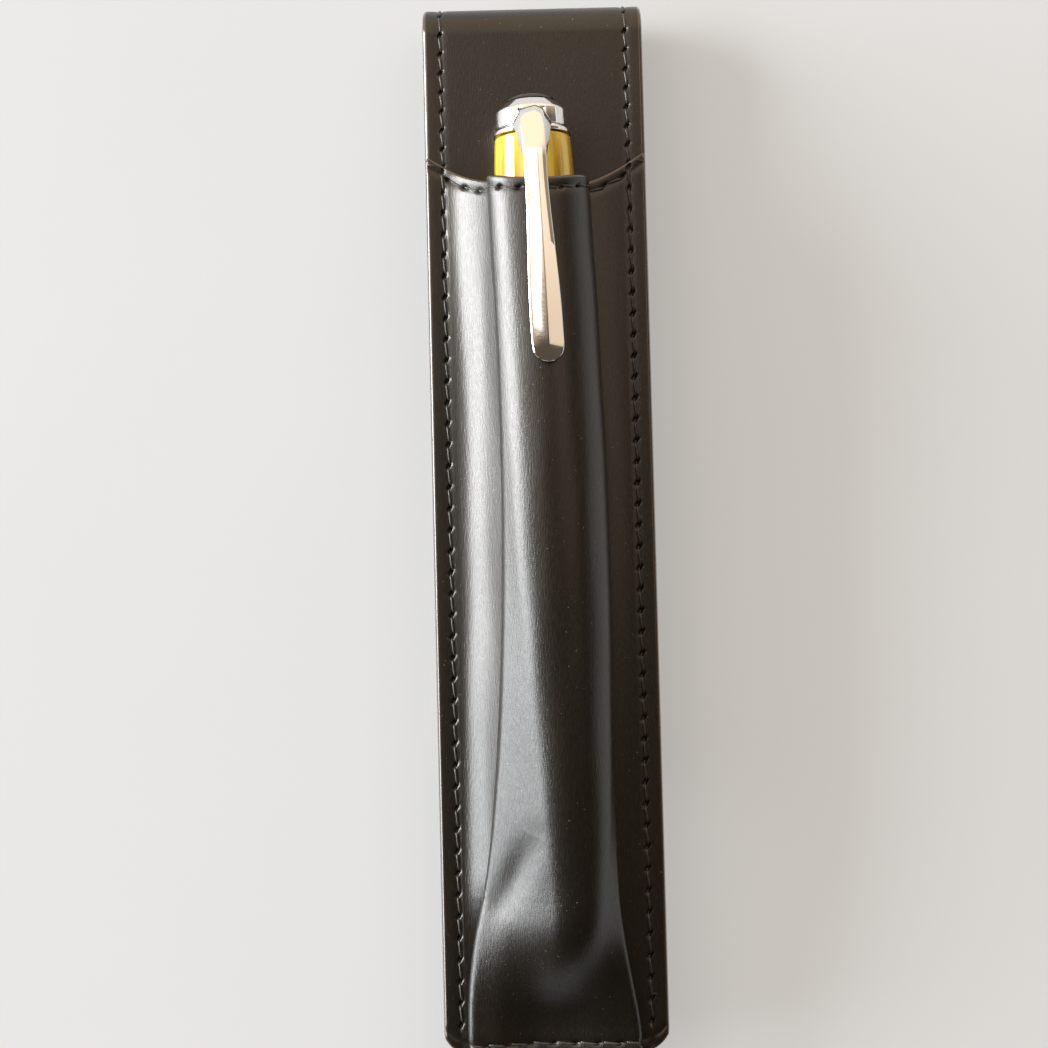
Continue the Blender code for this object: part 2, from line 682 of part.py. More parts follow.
def build_pocket():
    """Pleated pocket front, sewn to the strap along its sides and foot."""
    seam_y = BOTTOM_Y + BOTTOM_SEAM_INSET
    upper = []
    lower = []
    for y in pocket_levels():
        line, normals = pocket_section(y)
        panel = front_panel(line)
        top_row = []
        low_row = []
        for i, (point, normal) in enumerate(zip(line, normals)):
            groove = groove_share(MOUTH_Y - y - HEM_INSET)
            groove = max(groove, groove_share(y - seam_y) if i in panel else 0.0)
            on_flange = point.y - FLANGE_Z < TINY
            groove = max(groove, groove_share(abs(point.x) - SEAM_X) if on_flange else 0.0)
            shift = y + row_shift(y, point.x)
            top = point + normal * (POCKET_LEATHER / 2 - POCKET_GROOVE * groove)
            low = point - normal * (POCKET_LEATHER / 2)
            top_row.append(Vector((top.x, shift, top.y)))
            low_row.append(Vector((low.x, shift, low.y)))
        upper.append(top_row)
        lower.append(low_row)
    shell("pocket_front", upper, lower, BLACK_LEATHER)


def build_facing():
    """Band that stiffens the mouth from inside, over the pen."""
    rows = [FACING_INSET, FACING_INSET + FACING_DEPTH / 2, FACING_INSET + FACING_DEPTH]
    upper = []
    lower = []
    for below in rows:
        level = MOUTH_Y - below
        grids = []
        for radius in (FACING_RADIUS + FACING_LEATHER / 2, FACING_RADIUS - FACING_LEATHER / 2):
            centre = (pen_x(level), PEN_Z)
            arc = polar(centre, radius, math.pi - FACING_MARGIN, FACING_MARGIN, FRONT_STEPS)
            grids.append([Vector((spot.x, mouth_edge(spot.x) - below, spot.y)) for spot in arc])
        upper.append(grids[0])
        lower.append(grids[1])
    shell("mouth_facing", upper, lower, LINING)


def build_pocket_threads():
    """Side seams of the pocket, the hem of its mouth, the seam across its foot and the corner tacks."""
    up = Vector((0, 0, 1))
    flange_top = FLANGE_Z + POCKET_LEATHER / 2
    floor_z = flange_top - POCKET_GROOVE
    for side, word in ((-1, "left"), (1, "right")):
        x = side * SEAM_X
        start = Vector((x, mouth_edge(SEAM_X) - HEM_INSET / 2, floor_z))
        end = Vector((x, BOTTOM_Y + END_CORNER, floor_z))
        tube("seam_thread_" + word, stitch_run(start, end, up), THREAD)
        tack_x = side * (SEAM_X + GROOVE_TOP / 2 + THREAD_RADIUS)
        tack = Vector((tack_x, mouth_edge(HALF_WIDTH) - HEM_INSET, flange_top))
        tack_end = tack + Vector((side * TACK_LENGTH, 0, 0))
        tube("bar_tack_" + word, stitch_run(tack, tack_end, up), THREAD)
    hem_reach = SEAM_X - GROOVE_TOP / 2 - THREAD_RADIUS
    tube("mouth_thread", section_stitches(MOUTH_Y - HEM_INSET, hem_reach, False), THREAD)
    foot_reach = min(LEFT_PLEAT_X, RIGHT_PLEAT_X) - PLEAT_FOLD_RADIUS
    tube("bottom_thread", section_stitches(BOTTOM_Y + BOTTOM_SEAM_INSET, foot_reach, True), THREAD)


def section_stitches(level, reach, front_only):
    """Stitches that follow the pocket's section at one level, as far out as reach."""
    line, normals = pocket_section(level)
    run = front_panel(line) if front_only else range(len(line))
    kept = [i for i in run if abs(line[i].x) < reach]
    floor = [line[i] + normals[i].normalized() * (POCKET_LEATHER / 2 - POCKET_GROOVE) for i in kept]
    length = sum((b - a).length for a, b in zip(floor, floor[1:]))
    stitches = round(length / STITCH_PITCH)
    even = spread_points(floor, STITCH_STEPS * stitches, 0)
    points = []
    for i, spot in enumerate(even):
        ahead = even[min(i + 1, len(even) - 1)] - even[max(i - 1, 0)]
        normal = Vector((-ahead.y, ahead.x)).normalized()
        crown = STITCH_CROWN * math.sin(math.pi * i / STITCH_STEPS) ** 2
        seat = spot + normal * (THREAD_SEAT + crown)
        points.append(Vector((seat.x, level + row_shift(level, spot.x), seat.y)))
    return points


def build_cap(cap):
    """Cap with its bands, finial, clip and the liner that seals the nib."""
    band_bore = CAP_RADIUS - LIP_BAND_WALL
    skirt = band_bore - SEAT_GAP
    skirt_end = LIP_BAND_LENGTH + SEAT_GAP
    shoulder_radius = mix(CAP_RADIUS, CAP_TOP_RADIUS, CAP_SHOULDER_SHARE)
    turned("cap_tube", [(0, CAP_BORE), (0, skirt), (skirt_end, skirt), (skirt_end, CAP_RADIUS),
                        (CAP_SHOULDER * CAP_STRAIGHT_SHARE, CAP_RADIUS), (CAP_SHOULDER, shoulder_radius),
                        (CAP_LENGTH, CAP_TOP_RADIUS), (CAP_LENGTH, STUD_BORE),
                        (CAP_BORE_END, STUD_BORE), (CAP_BORE_END, CAP_BORE)], YELLOW_RESIN, cap)
    turned("cap_lip_band", [(0, band_bore), (0, CAP_RADIUS), (LIP_BAND_LENGTH, CAP_RADIUS),
                            (LIP_BAND_LENGTH, band_bore)], CHROME, cap)
    liner = CAP_BORE - SEAT_GAP
    liner_bore = liner - INNER_CAP_WALL
    liner_start = RING_END_Y + INNER_CAP_GAP
    liner_end = CAP_BORE_END - STUD_LENGTH
    liner_floor = liner_end - INNER_CAP_WALL
    turned("inner_cap", [(liner_start, liner_bore), (liner_start, liner), (liner_end, liner), (liner_end, 0),
                         (liner_floor, 0), (liner_floor, liner_bore)], FEED_PLASTIC, cap)
    build_finial(cap)
    build_clip(cap)


def build_finial(cap):
    """Ring that the clip hangs from, the finial screwed down on it, and the dome in the finial's top."""
    rim = CAP_TOP_RADIUS + SEAT_GAP / 2
    ring_end = CLIP_RING_Y + CLIP_RING_HEIGHT
    turned("clip_ring", [(CLIP_RING_Y, STUD_BORE), (CLIP_RING_Y, rim),
                         (CLIP_RING_Y + CLIP_RING_HEIGHT / 2, rim),
                         (ring_end, FINIAL_RADIUS), (ring_end, STUD_BORE)], CHROME, cap)
    finial_top = FINIAL_Y + FINIAL_HEIGHT
    chamfer = FINIAL_RADIUS - FINIAL_DOME_RADIUS
    stud_end = CAP_BORE_END - STUD_LENGTH / 2
    finial = turned("finial_ring", [(stud_end, 0), (stud_end, STUD_RADIUS), (FINIAL_Y, STUD_RADIUS),
                                    (FINIAL_Y, FINIAL_RADIUS), (finial_top - chamfer, FINIAL_RADIUS),
                                    (finial_top, FINIAL_DOME_RADIUS), (finial_top, 0)], CHROME, cap)
    slot_low = (-CLIP_ROOT_WIDTH / 2 - SEAT_GAP, CLIP_Y - SEAT_GAP, CLIP_ROOT_RADIUS - SEAT_GAP)
    slot_high = (CLIP_ROOT_WIDTH / 2 + SEAT_GAP, CLIP_Y + CLIP_THICKNESS + CLIP_RIDGE + SEAT_GAP,
                 FINIAL_RADIUS + SEAT_GAP)
    cut_away(finial, "clip_slot", block_mesh("clip_slot", slot_low, slot_high))
    dome_y = finial_top + SEAT_GAP
    turned("finial_dome", bow_profile(dome_y, FINIAL_DOME_HEIGHT, FINIAL_DOME_RADIUS), BLACK_RESIN, cap)


def bow_profile(start, height, radius):
    """Outline of a low dome that stands on a flat base at start."""
    turns = [math.pi / 2 * step / BOW_STEPS for step in range(BOW_STEPS)]
    bow = [(start + height * math.sin(turn), radius * math.cos(turn)) for turn in turns]
    return [(start, 0)] + bow + [(start + height, 0)]


def clip_outline(width, cheek, ball, ridge):
    """Section of the clip: two facets that meet at its ridge, cheeks at its sides and a ball under it."""
    half = width / 2
    inner = half - width * CLIP_WALL_SHARE
    splay = CLIP_CHEEK_SPLAY * cheek
    right = [(half, CLIP_THICKNESS), (half + splay, -cheek), (inner + splay, -cheek), (inner, 0)]
    left = [(-x, lift) for x, lift in reversed(right)]
    return [tuple(ridge)] + right + [(0, -ball)] + left


def build_clip(cap):
    """Sprung clip, from its slot in the finial over the pocket's front to a ball at its tip."""
    rise = CLIP_RING_HEIGHT + CLIP_ROOT_DEPTH
    knee = CAP_TOP_RADIUS + 2 * SEAT_GAP
    tip_y = CLIP_Y - CLIP_LENGTH
    tip_round = CLIP_SPOON_WIDTH / 2
    tip_share = tip_round / CLIP_LENGTH
    tip_turns = [math.pi / 2 * step / CLIP_TIP_STEPS for step in range(CLIP_TIP_STEPS + 1)]
    shares = [(1 - tip_share) * step / CLIP_STEPS for step in range(1, CLIP_STEPS)]
    shares += [1 - tip_share * (1 - math.sin(turn)) for turn in tip_turns]
    path = [Vector((CLIP_Y, CLIP_ROOT_RADIUS))]
    path += bezier([(CLIP_Y, knee - rise / 2), (CLIP_Y, knee + rise / 2),
                    (CLIP_Y - rise, CLIP_UNDERSIDE - rise / 2), (CLIP_Y - 3 * rise, CLIP_UNDERSIDE)],
                   [step / CLIP_KNEE_STEPS for step in range(CLIP_KNEE_STEPS + 1)])
    start = path[-1]
    arch = Vector((tip_y, CLIP_UNDERSIDE + 2 * CLIP_ARCH))
    path += bezier([start, start.lerp(arch, 1 / 3), start.lerp(arch, 2 / 3),
                    (tip_y, CLIP_UNDERSIDE + CLIP_BALL)], shares)
    work = bmesh.new()
    rings = []
    for i, point in enumerate(path):
        ahead = (path[min(i + 1, len(path) - 1)] - path[max(i - 1, 0)]).normalized()
        up = Vector((ahead.y, -ahead.x))
        along = CLIP_Y - point.x
        share = clamp(along / CLIP_LENGTH)
        width = mix(CLIP_ROOT_WIDTH, CLIP_NECK_WIDTH, ease(share / CLIP_NECK_SHARE))
        widening = (share - CLIP_NECK_SHARE) / (CLIP_SPOON_SHARE - CLIP_NECK_SHARE)
        width = mix(width, CLIP_SPOON_WIDTH, ease(widening))
        past = clamp((along - CLIP_LENGTH + tip_round) / tip_round)
        width *= max(CLIP_TIP_FLAT, math.sqrt(1 - past ** 2))
        ball_share = (share - CLIP_BALL_SHARE) / (CLIP_BALL_END_SHARE - CLIP_BALL_SHARE)
        ball = CLIP_BALL * ease(ball_share)
        climb = ease((point.y - FINIAL_RADIUS) / CLIP_CHEEK_CLIMB)
        cheek = CLIP_CHEEK_DEPTH * max(0, 1 - along / CLIP_CHEEK_LENGTH) * climb
        ridge = Vector((width * (mix(CLIP_RIDGE_AT_ROOT, CLIP_RIDGE_AT_TIP, share) - 0.5),
                        CLIP_THICKNESS + CLIP_RIDGE * (1 - past / 2)))
        sway = math.tan(CLIP_SWAY) * along
        rings.append([work.verts.new((x + sway, point.x + up.x * lift, point.y + up.y * lift))
                      for x, lift in clip_outline(width, cheek, ball, ridge)])
    for ring, following in zip(rings, rings[1:]):
        for i in range(len(ring)):
            j = (i + 1) % len(ring)
            work.faces.new((ring[i], ring[j], following[j], following[i]))
    work.faces.new(rings[0])
    work.faces.new(rings[-1])
    finish_mesh("pen_clip", work, CHROME, cap, CLIP_SHARP_ANGLE)


def build_barrel(pen):
    """Barrel and its tail, the grip section with nib and feed, and the converter inside."""
    mouth = -SEAT_GAP
    end = -BARREL_LENGTH
    bore_end = end + BARREL_END_WALL
    bow = [(end * share, mix(BARREL_RADIUS, BARREL_END_RADIUS, taper)) for share, taper in BARREL_BOW]
    turned("pen_barrel", [(mouth, BARREL_BORE_RADIUS), (mouth, BARREL_RADIUS)] + bow
           + [(end, BARREL_END_RADIUS), (end, 0), (bore_end, 0), (bore_end, BARREL_END_RADIUS - CAP_WALL),
              (end * BARREL_BORE_STRAIGHT, BARREL_BORE_RADIUS)], YELLOW_RESIN, pen)
    turned("barrel_tail", bow_profile(end - SEAT_GAP, -TAIL_LENGTH, BARREL_END_RADIUS), BLACK_RESIN, pen)
    waist = (SECTION_LENGTH * SECTION_WAIST_SHARE, SECTION_RADIUS - SECTION_WAIST)
    nib_seat = NIB_BASE_Y - SEAT_GAP
    turned("pen_section", [(-SPIGOT_LENGTH, NOZZLE_BORE), (-SPIGOT_LENGTH, SPIGOT_RADIUS), (0, SPIGOT_RADIUS),
                           (0, SECTION_RADIUS), waist, (SECTION_LENGTH, SECTION_RADIUS),
                           (SECTION_LENGTH, NIB_SEAT_RADIUS), (nib_seat, NIB_SEAT_RADIUS),
                           (nib_seat, FEED_SEAT_RADIUS), (0, FEED_SEAT_RADIUS), (0, NOZZLE_BORE)],
           BLACK_RESIN, pen)
    turned("section_ring", [(RING_Y, NIB_SEAT_RADIUS), (RING_Y, SECTION_RADIUS), (RING_END_Y, SECTION_RADIUS),
                            (RING_END_Y, NIB_SEAT_RADIUS)], CHROME, pen)
    build_feed(pen)
    build_nib(pen)
    nozzle = CONVERTER_Y + NOZZLE_LENGTH
    turned("ink_converter", [(nozzle, 0), (nozzle, CONVERTER_NOZZLE), (CONVERTER_Y, CONVERTER_NOZZLE),
                             (CONVERTER_Y, CONVERTER_RADIUS), (CONVERTER_END_Y, CONVERTER_RADIUS),
                             (CONVERTER_END_Y, 0)], CLEAR_PLASTIC, pen)
    build_knob(pen)


def build_feed(pen):
    """Feed with a comb of fins that narrows to its tip under the nib."""
    start = SEAT_GAP
    fins = RING_END_Y + FEED_FIN_PITCH
    fin_bed = FEED_RADIUS - FEED_FIN_DEPTH
    profile = [(start, 0), (start, FEED_RADIUS), (fins, FEED_RADIUS)]
    for fin in range(FEED_FINS):
        base = fins + fin * FEED_FIN_PITCH
        middle = base + FEED_FIN_PITCH / 2
        profile += [(base, fin_bed), (middle, fin_bed), (middle, FEED_RADIUS),
                    (base + FEED_FIN_PITCH, FEED_RADIUS)]
    tip = max(start + FEED_LENGTH, fins + FEED_FINS * FEED_FIN_PITCH + FEED_RADIUS)
    profile += [(tip, FEED_RADIUS / 3), (tip, 0)]
    turned("pen_feed", profile, FEED_PLASTIC, pen, TURN_STEPS // 2)


def build_nib(pen):
    """Curved nib, broad at its shoulders and slit from its tip to the breather hole."""
    tip_y = NIB_BASE_Y + NIB_LENGTH
    base_width = NIB_RADIUS * math.sin(NIB_HUG)
    upper = []
    lower = []
    for step in range(NIB_STEPS + 1):
        share = step / NIB_STEPS
        y = mix(NIB_BASE_Y, tip_y, share)
        flare = ease((share - NIB_FLARE_SHARE) / (NIB_SHOULDER_SHARE - NIB_FLARE_SHARE))
        taper = ease((share - NIB_SHOULDER_SHARE) / NIB_TAPER_SHARE)
        width = mix(mix(base_width, NIB_SHOULDER, flare), NIB_TIP_WIDTH / 2, taper)
        crown = NIB_RADIUS * (1 - NIB_TIP_DROP * taper)
        sag = NIB_RADIUS * (1 - math.cos(NIB_HUG)) * (1 - NIB_FLATTEN * flare) * (1 - taper)
        grids = ([], [])
        for column in range(NIB_COLUMNS + 1):
            turn = NIB_HUG * (2 * column / NIB_COLUMNS - 1)
            x = width * math.sin(turn) / math.sin(NIB_HUG)
            z = crown - sag * (1 - math.cos(turn)) / (1 - math.cos(NIB_HUG))
            lean = Vector((math.sin(turn) * (1 - taper), 0, math.cos(turn * (1 - taper)))).normalized()
            for grid, half in zip(grids, (NIB_THICKNESS / 2, -NIB_THICKNESS / 2)):
                grid.append(Vector((x, y, z)) + lean * half)
        upper.append(grids[0])
        lower.append(grids[1])
    nib = shell("pen_nib", upper, lower, NIB_STEEL, pen)
    slit_y = mix(NIB_BASE_Y, tip_y, NIB_SLIT_SHARE)
    slit_high = (NIB_SLIT / 2, tip_y + NIB_LENGTH, 2 * NIB_RADIUS)
    cut_away(nib, "nib_slit", block_mesh("nib_slit", (-NIB_SLIT / 2, slit_y, 0), slit_high))
    work = bmesh.new()
    bmesh.ops.create_cone(work, cap_ends=True, segments=BREATHER_STEPS, radius1=NIB_BREATHER / 2,
                          radius2=NIB_BREATHER / 2, depth=4 * NIB_RADIUS)
    bmesh.ops.translate(work, verts=work.verts, vec=(0, slit_y, 2 * NIB_RADIUS))
    hole = bpy.data.meshes.new("nib_breather")
    work.to_mesh(hole)
    work.free()
    cut_away(nib, "nib_breather", hole)


def build_knob(pen):
    """Ridged knob that turns the converter's piston."""
    work = bmesh.new()
    rings = []
    for y in (KNOB_Y, KNOB_END_Y):
        ring = []
        for step in range(2 * KNOB_RIDGES):
            radius = KNOB_RADIUS - KNOB_RIDGE_DEPTH * (step % 2)
            turn = math.pi * step / KNOB_RIDGES
            ring.append(work.verts.new((radius * math.cos(turn), y, radius * math.sin(turn))))
        rings.append(ring)
    for i in range(2 * KNOB_RIDGES):
        j = (i + 1) % (2 * KNOB_RIDGES)
        work.faces.new((rings[0][i], rings[0][j], rings[1][j], rings[1][i]))
    work.faces.new(rings[0])
    work.faces.new(rings[1])
    finish_mesh("converter_knob", work, CHROME, pen)


def build():
    clear_scene()
    hinge = make_empty("flap_hinge", HINGE)
    pen = make_empty("pen_axis", (PEN_LIP_X, PEN_LIP_Y, PEN_Z))
    pen.rotation_euler.z = PEN_LEAN
    cap = make_empty("cap_axis", (0, 0, 0), pen)
    build_strap()
    build_fold()
    build_flap(hinge)
    build_strap_threads(hinge)
    build_pocket()
    build_facing()
    build_pocket_threads()
    build_barrel(pen)
    build_cap(cap)
    bpy.context.view_layer.update()


build()
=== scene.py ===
"""Looks of the leather pen case and its fountain pen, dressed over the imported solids.

Lengths are in metres. X runs across the strap, +Y towards the fold and Z up, as in the solids.
"""

import json
import math

import bmesh
import bpy
import numpy as np
from mathutils import Matrix, Vector, noise

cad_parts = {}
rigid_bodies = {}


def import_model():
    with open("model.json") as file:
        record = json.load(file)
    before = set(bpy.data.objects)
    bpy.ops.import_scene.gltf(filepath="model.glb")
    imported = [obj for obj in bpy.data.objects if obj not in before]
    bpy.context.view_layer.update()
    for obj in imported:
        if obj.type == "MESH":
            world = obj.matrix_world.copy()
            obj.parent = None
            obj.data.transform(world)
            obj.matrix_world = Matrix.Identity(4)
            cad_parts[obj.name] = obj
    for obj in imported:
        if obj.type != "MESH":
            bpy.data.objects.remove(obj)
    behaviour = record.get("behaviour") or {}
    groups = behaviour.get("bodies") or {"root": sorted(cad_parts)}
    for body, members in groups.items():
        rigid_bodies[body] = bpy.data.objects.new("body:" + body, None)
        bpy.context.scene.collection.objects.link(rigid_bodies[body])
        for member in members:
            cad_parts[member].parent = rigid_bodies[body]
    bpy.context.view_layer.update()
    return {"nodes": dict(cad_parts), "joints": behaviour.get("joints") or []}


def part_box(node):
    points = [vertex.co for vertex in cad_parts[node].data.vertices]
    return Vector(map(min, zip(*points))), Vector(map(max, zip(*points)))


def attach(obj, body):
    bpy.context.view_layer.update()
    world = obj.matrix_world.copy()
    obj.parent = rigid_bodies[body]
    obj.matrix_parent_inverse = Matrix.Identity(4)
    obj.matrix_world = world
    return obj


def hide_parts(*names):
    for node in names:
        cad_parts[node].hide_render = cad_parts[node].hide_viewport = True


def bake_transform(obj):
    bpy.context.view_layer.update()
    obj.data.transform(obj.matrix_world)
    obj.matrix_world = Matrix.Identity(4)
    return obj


for leftover in list(bpy.data.objects):
    bpy.data.objects.remove(leftover, do_unlink=True)
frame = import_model()

# Sizes read from the frame
STRAP_LOW, STRAP_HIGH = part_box("strap_outer")
HALF_WIDTH = STRAP_HIGH.x
BOTTOM_Y = STRAP_LOW.y
STRAP_TOP_Z = STRAP_HIGH.z
FLAP_END_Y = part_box("flap_outer")[0].y
MOUTH_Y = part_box("pocket_front")[1].y
OUTER_LEATHER = (STRAP_HIGH - STRAP_LOW).z
LINING_LOW, LINING_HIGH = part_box("strap_lining")
LINING_LEATHER = (LINING_HIGH - LINING_LOW).z
FOLD_RADIUS = STRAP_TOP_Z / 2
FOLD_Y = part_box("fold_outer")[1].y - FOLD_RADIUS
LINING_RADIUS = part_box("fold_lining")[1].y - FOLD_Y
SLIDE = next(joint for joint in frame["joints"] if joint["name"] == "pen_slide")
PEN_AXIS = Vector(SLIDE["axis"]).normalized()
PEN_LEAN = math.atan2(-PEN_AXIS.x, PEN_AXIS.y)

# Seams
SEAM_INSET = 0.0027
SEAM_X = HALF_WIDTH - SEAM_INSET
STITCH_PITCH = 0.0032
THREAD_RADIUS = 0.00017
THREAD_RISE = 0.45
THREAD_PLY = 0.10
THREAD_TWIST = 9
STITCH_SLANT = 0.00017
STITCH_REACH = (0.07, 0.93)
STITCH_END_SLIM = 0.78
HOLE_DEPTH = 0.00050
HOLE_LENGTH = 0.00050
HOLE_WIDTH = 0.00021
HOLE_TURN = math.radians(28)
SEAM_SINK = 0.00014
SEAM_SINK_WIDTH = 0.00060

# Pocket front, close to the form of its solid
POCKET_LEATHER = 0.0010
SEAT_GAP = 0.0003
END_CORNER = 0.0048
MOUTH_DIP = 0.0063
MOUTH_BLEND = 0.0200
MOUTH_SLOPE = 0.045
HEM_INSET = 0.0017
FACING_LEATHER = 0.0005
FACING_DEPTH = 0.0070
FACING_SETBACK = 0.0006
FACING_MARGINS = (math.radians(42), math.radians(9))
PLEAT_FOLD_RADIUS = 0.0007
SOFT_FOLD_RADIUS = 0.0015
LEFT_VALLEY_RADIUS = 0.0008
LEFT_PLEAT_X = SEAM_X - 0.0015
RIGHT_PLEAT_X = SEAM_X - 0.0021
FOOT_LENGTH = 0.0045
FOOT_PRESS = 0.0013
FOOT_VALLEY = (-0.0100, -0.0025, 0.0100)
BOTTOM_SEAM_INSET = 0.0021
LEFT_FOLD_AT_TAIL = (0.0095, 0.0143)
LEFT_LEAF_REACH = 0.0066
LEFT_SPREAD_Y = 0.0300
LEFT_LEAF_END = (0.0100, 0.0086)
LEFT_LEAF_SAG = (0.55, 0.65)
LEFT_LEAF_TILT = (math.radians(51), math.radians(40))
MOUTH_LEAF_LIFT = math.radians(14)
MOUTH_LEAF_LENGTH = 0.0380
DOME_LEAVE = math.radians(39)
RIGHT_SPREAD_AT_TAIL = 0.30
RIGHT_SPREAD_DELAY = 1.2
RIGHT_LEAF_RISE = 0.0008
RIGHT_LEAF_SAG = 0.47
LEAF_START = SEAM_X - 0.0005
CREST_AT_TAIL = 0.76
CREST_HOLD = 1.5
LEAST_BEND = math.radians(2)
DOME_END_Y = 0.0120
SETTLE_LENGTH = 0.0034
SETTLE_SHARES = (1, 2, 3, 2, 1)
WEAR_FADE = 0.0015
WAVE_HEIGHT = 0.00012
WAVE_SCALE = (260, 55, 160)
DENT_LINE = ((-0.0024, -0.0468), (-0.0076, -0.0572))
DENT_DEPTH = 0.00034
DENT_WIDTH = 0.0020
DENT_SPAN = (0.08, 0.68)

# Pen, in its own frame: the cap's lip at the origin and the finial towards +Y
CAP_RADIUS = 0.0063
CAP_TOP_RADIUS = 0.0057
CAP_LENGTH = 0.0571
CAP_TAPER_LENGTH = 0.0061
CAP_WALL = 0.0010
CAP_ROUNDING = 0.00018
CAP_END_THICKNESS = 0.0022
LIP_BAND_LENGTH = 0.0040
LIP_BAND_WALL = 0.0006
LIP_BAND_SEAT = 0.0009
RING_ROUNDING = 0.0002
STUD_HOLE_RADIUS = 0.0015
STUD_RADIUS = 0.0012
STUD_REACH = 0.0042
FINIAL_RADIUS = 0.0054
FINIAL_HEIGHT = 0.0039
FINIAL_DOME_RADIUS = 0.0039
FINIAL_DOME_HEIGHT = 0.0012
FINIAL_ROUNDING = 0.00025
FINIAL_STEP = 0.0001
CLIP_RING_HEIGHT = 0.0010
CLIP_ROOT_DEPTH = 0.0012
SLOT_GAP = 0.0002
SLOT_DEPTH = 0.0014
SLOT_HEADROOM = 0.00035
SLOT_OVERCUT = 0.001
CLIP_LENGTH = 0.0378
CLIP_THICKNESS = 0.0005
CLIP_CROWN = 0.0005
CLIP_CROWN_FADE = 0.55
CLIP_RIDGE = (0.64, 0.50)
CLIP_ROOT_WIDTH = 0.0036
CLIP_NECK_WIDTH = 0.0033
CLIP_SPOON_WIDTH = 0.0047
CLIP_NECK_SHARE = 0.26
CLIP_SPOON_SHARE = 0.84
CLIP_UNDERSIDE = 0.0090
CLIP_ARCH = 0.0008
CLIP_TIP_DROP = 0.0002
CLIP_TIP_SHARE = 0.12
CLIP_CHEEK_LENGTH = 0.0078
CLIP_CHEEK_DEPTH = 0.0017
CLIP_CHEEK_SPLAY = 0.75
CLIP_CHEEK_CLIMB = 0.0014
CLIP_SWAY = math.radians(1.0)
BARREL_LENGTH = 0.0545
BARREL_STEP = 0.0005
BARREL_END_RADIUS = 0.0033
BARREL_END_THICKNESS = 0.0042
BARREL_END_WALL = 0.0010
BARREL_BORE = 0.0037
BARREL_ROUNDING = 0.00015
TAIL_HEIGHT = 0.0021

# Levels worked out from the sizes above
BAND_LOW, BAND_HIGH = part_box("cap_lip_band")
PEN_LIP = (BAND_LOW + BAND_HIGH) / 2 - PEN_AXIS * LIP_BAND_LENGTH / 2
PEN_Z = PEN_LIP.z
FLANGE_Z = STRAP_TOP_Z + SEAT_GAP + POCKET_LEATHER / 2
DOME_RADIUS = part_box("pocket_front")[1].z - PEN_Z - POCKET_LEATHER / 2
DOME_Z = PEN_Z + DOME_RADIUS
PLEAT_EDGE_Z = FLANGE_Z + 3 * PLEAT_FOLD_RADIUS
FOOT_Z = FLANGE_Z + 4 * PLEAT_FOLD_RADIUS
TAIL_Y = PEN_LIP.y - BARREL_LENGTH - TAIL_HEIGHT
FOOT_Y = BOTTOM_Y + FOOT_LENGTH
OUTER_RADIUS = FOLD_RADIUS - OUTER_LEATHER / 2

# Smoothness
STRAP_ROWS = 24
LINING_ROWS = 160
CORNER_STEPS = 6
EDGE_STEPS = 6
EDGE_SHARE = 0.4
LEAF_STEPS = 18
VALLEY_STEPS = 8
FACING_STEPS = 48
FACING_ROWS = 10
FRONT_STEPS = 44
DENSE_STEPS = 60
BEND_WEIGHT = 0.0012
TURN_STEPS = 96
TURNED_SHARP = math.radians(50)
CLIP_SHARP = math.radians(38)
STITCH_RINGS = 11
STITCH_SIDES = 10
TINY = 1e-9

# Camera and light
STRAP_PLANE_DISTANCE = 0.300
CAMERA_ELEVATION = math.radians(87)
CAMERA_ROLL = math.radians(1.4)
CAMERA_TARGET = Vector((-0.0031, -0.0006, STRAP_TOP_Z))
LENS_MM = 67.5
SENSOR_MM = 36
FLOOR_HALF = 3.0
FLOOR_DROP = 0.0003


def mix(start, end, share):
    return start + (end - start) * share


def clamp(value):
    return min(1.0, max(0.0, value))


def ease(value):
    value = clamp(value)
    return value * value * (3 - 2 * value)


def bezier(control, shares):
    """Points at these shares, or at this number of even steps, along a curve of any degree."""
    if isinstance(shares, int):
        shares = [step / shares for step in range(shares + 1)]
    points = []
    for share in shares:
        level = [Vector(point) for point in control]
        while len(level) > 1:
            level = [a.lerp(b, share) for a, b in zip(level, level[1:])]
        points.append(level[0])
    return points


def along_run(values, travel, at):
    """The row of values at a length along a run whose rows lie at these lengths."""
    return np.array([np.interp(at, travel, column) for column in values.T])


# Materials
def add_node(tree, kind, inputs, **settings):
    """Add a shader node with these settings and inputs: fixed values or sockets to link from."""
    node = tree.nodes.new("ShaderNode" + kind)
    for setting, value in settings.items():
        setattr(node, setting, value)
    for socket, value in inputs.items():
        if isinstance(value, bpy.types.NodeSocket):
            tree.links.new(value, node.inputs[socket])
        else:
            node.inputs[socket].default_value = value
    return node


def map_range(tree, value, spans, interpolation="LINEAR"):
    """Spread a value over another range: spans are its low and high, then what they become."""
    inputs = dict(zip(("From Min", "From Max", "To Min", "To Max"), spans), Value=value)
    return add_node(tree, "MapRange", inputs, interpolation_type=interpolation).outputs["Result"]


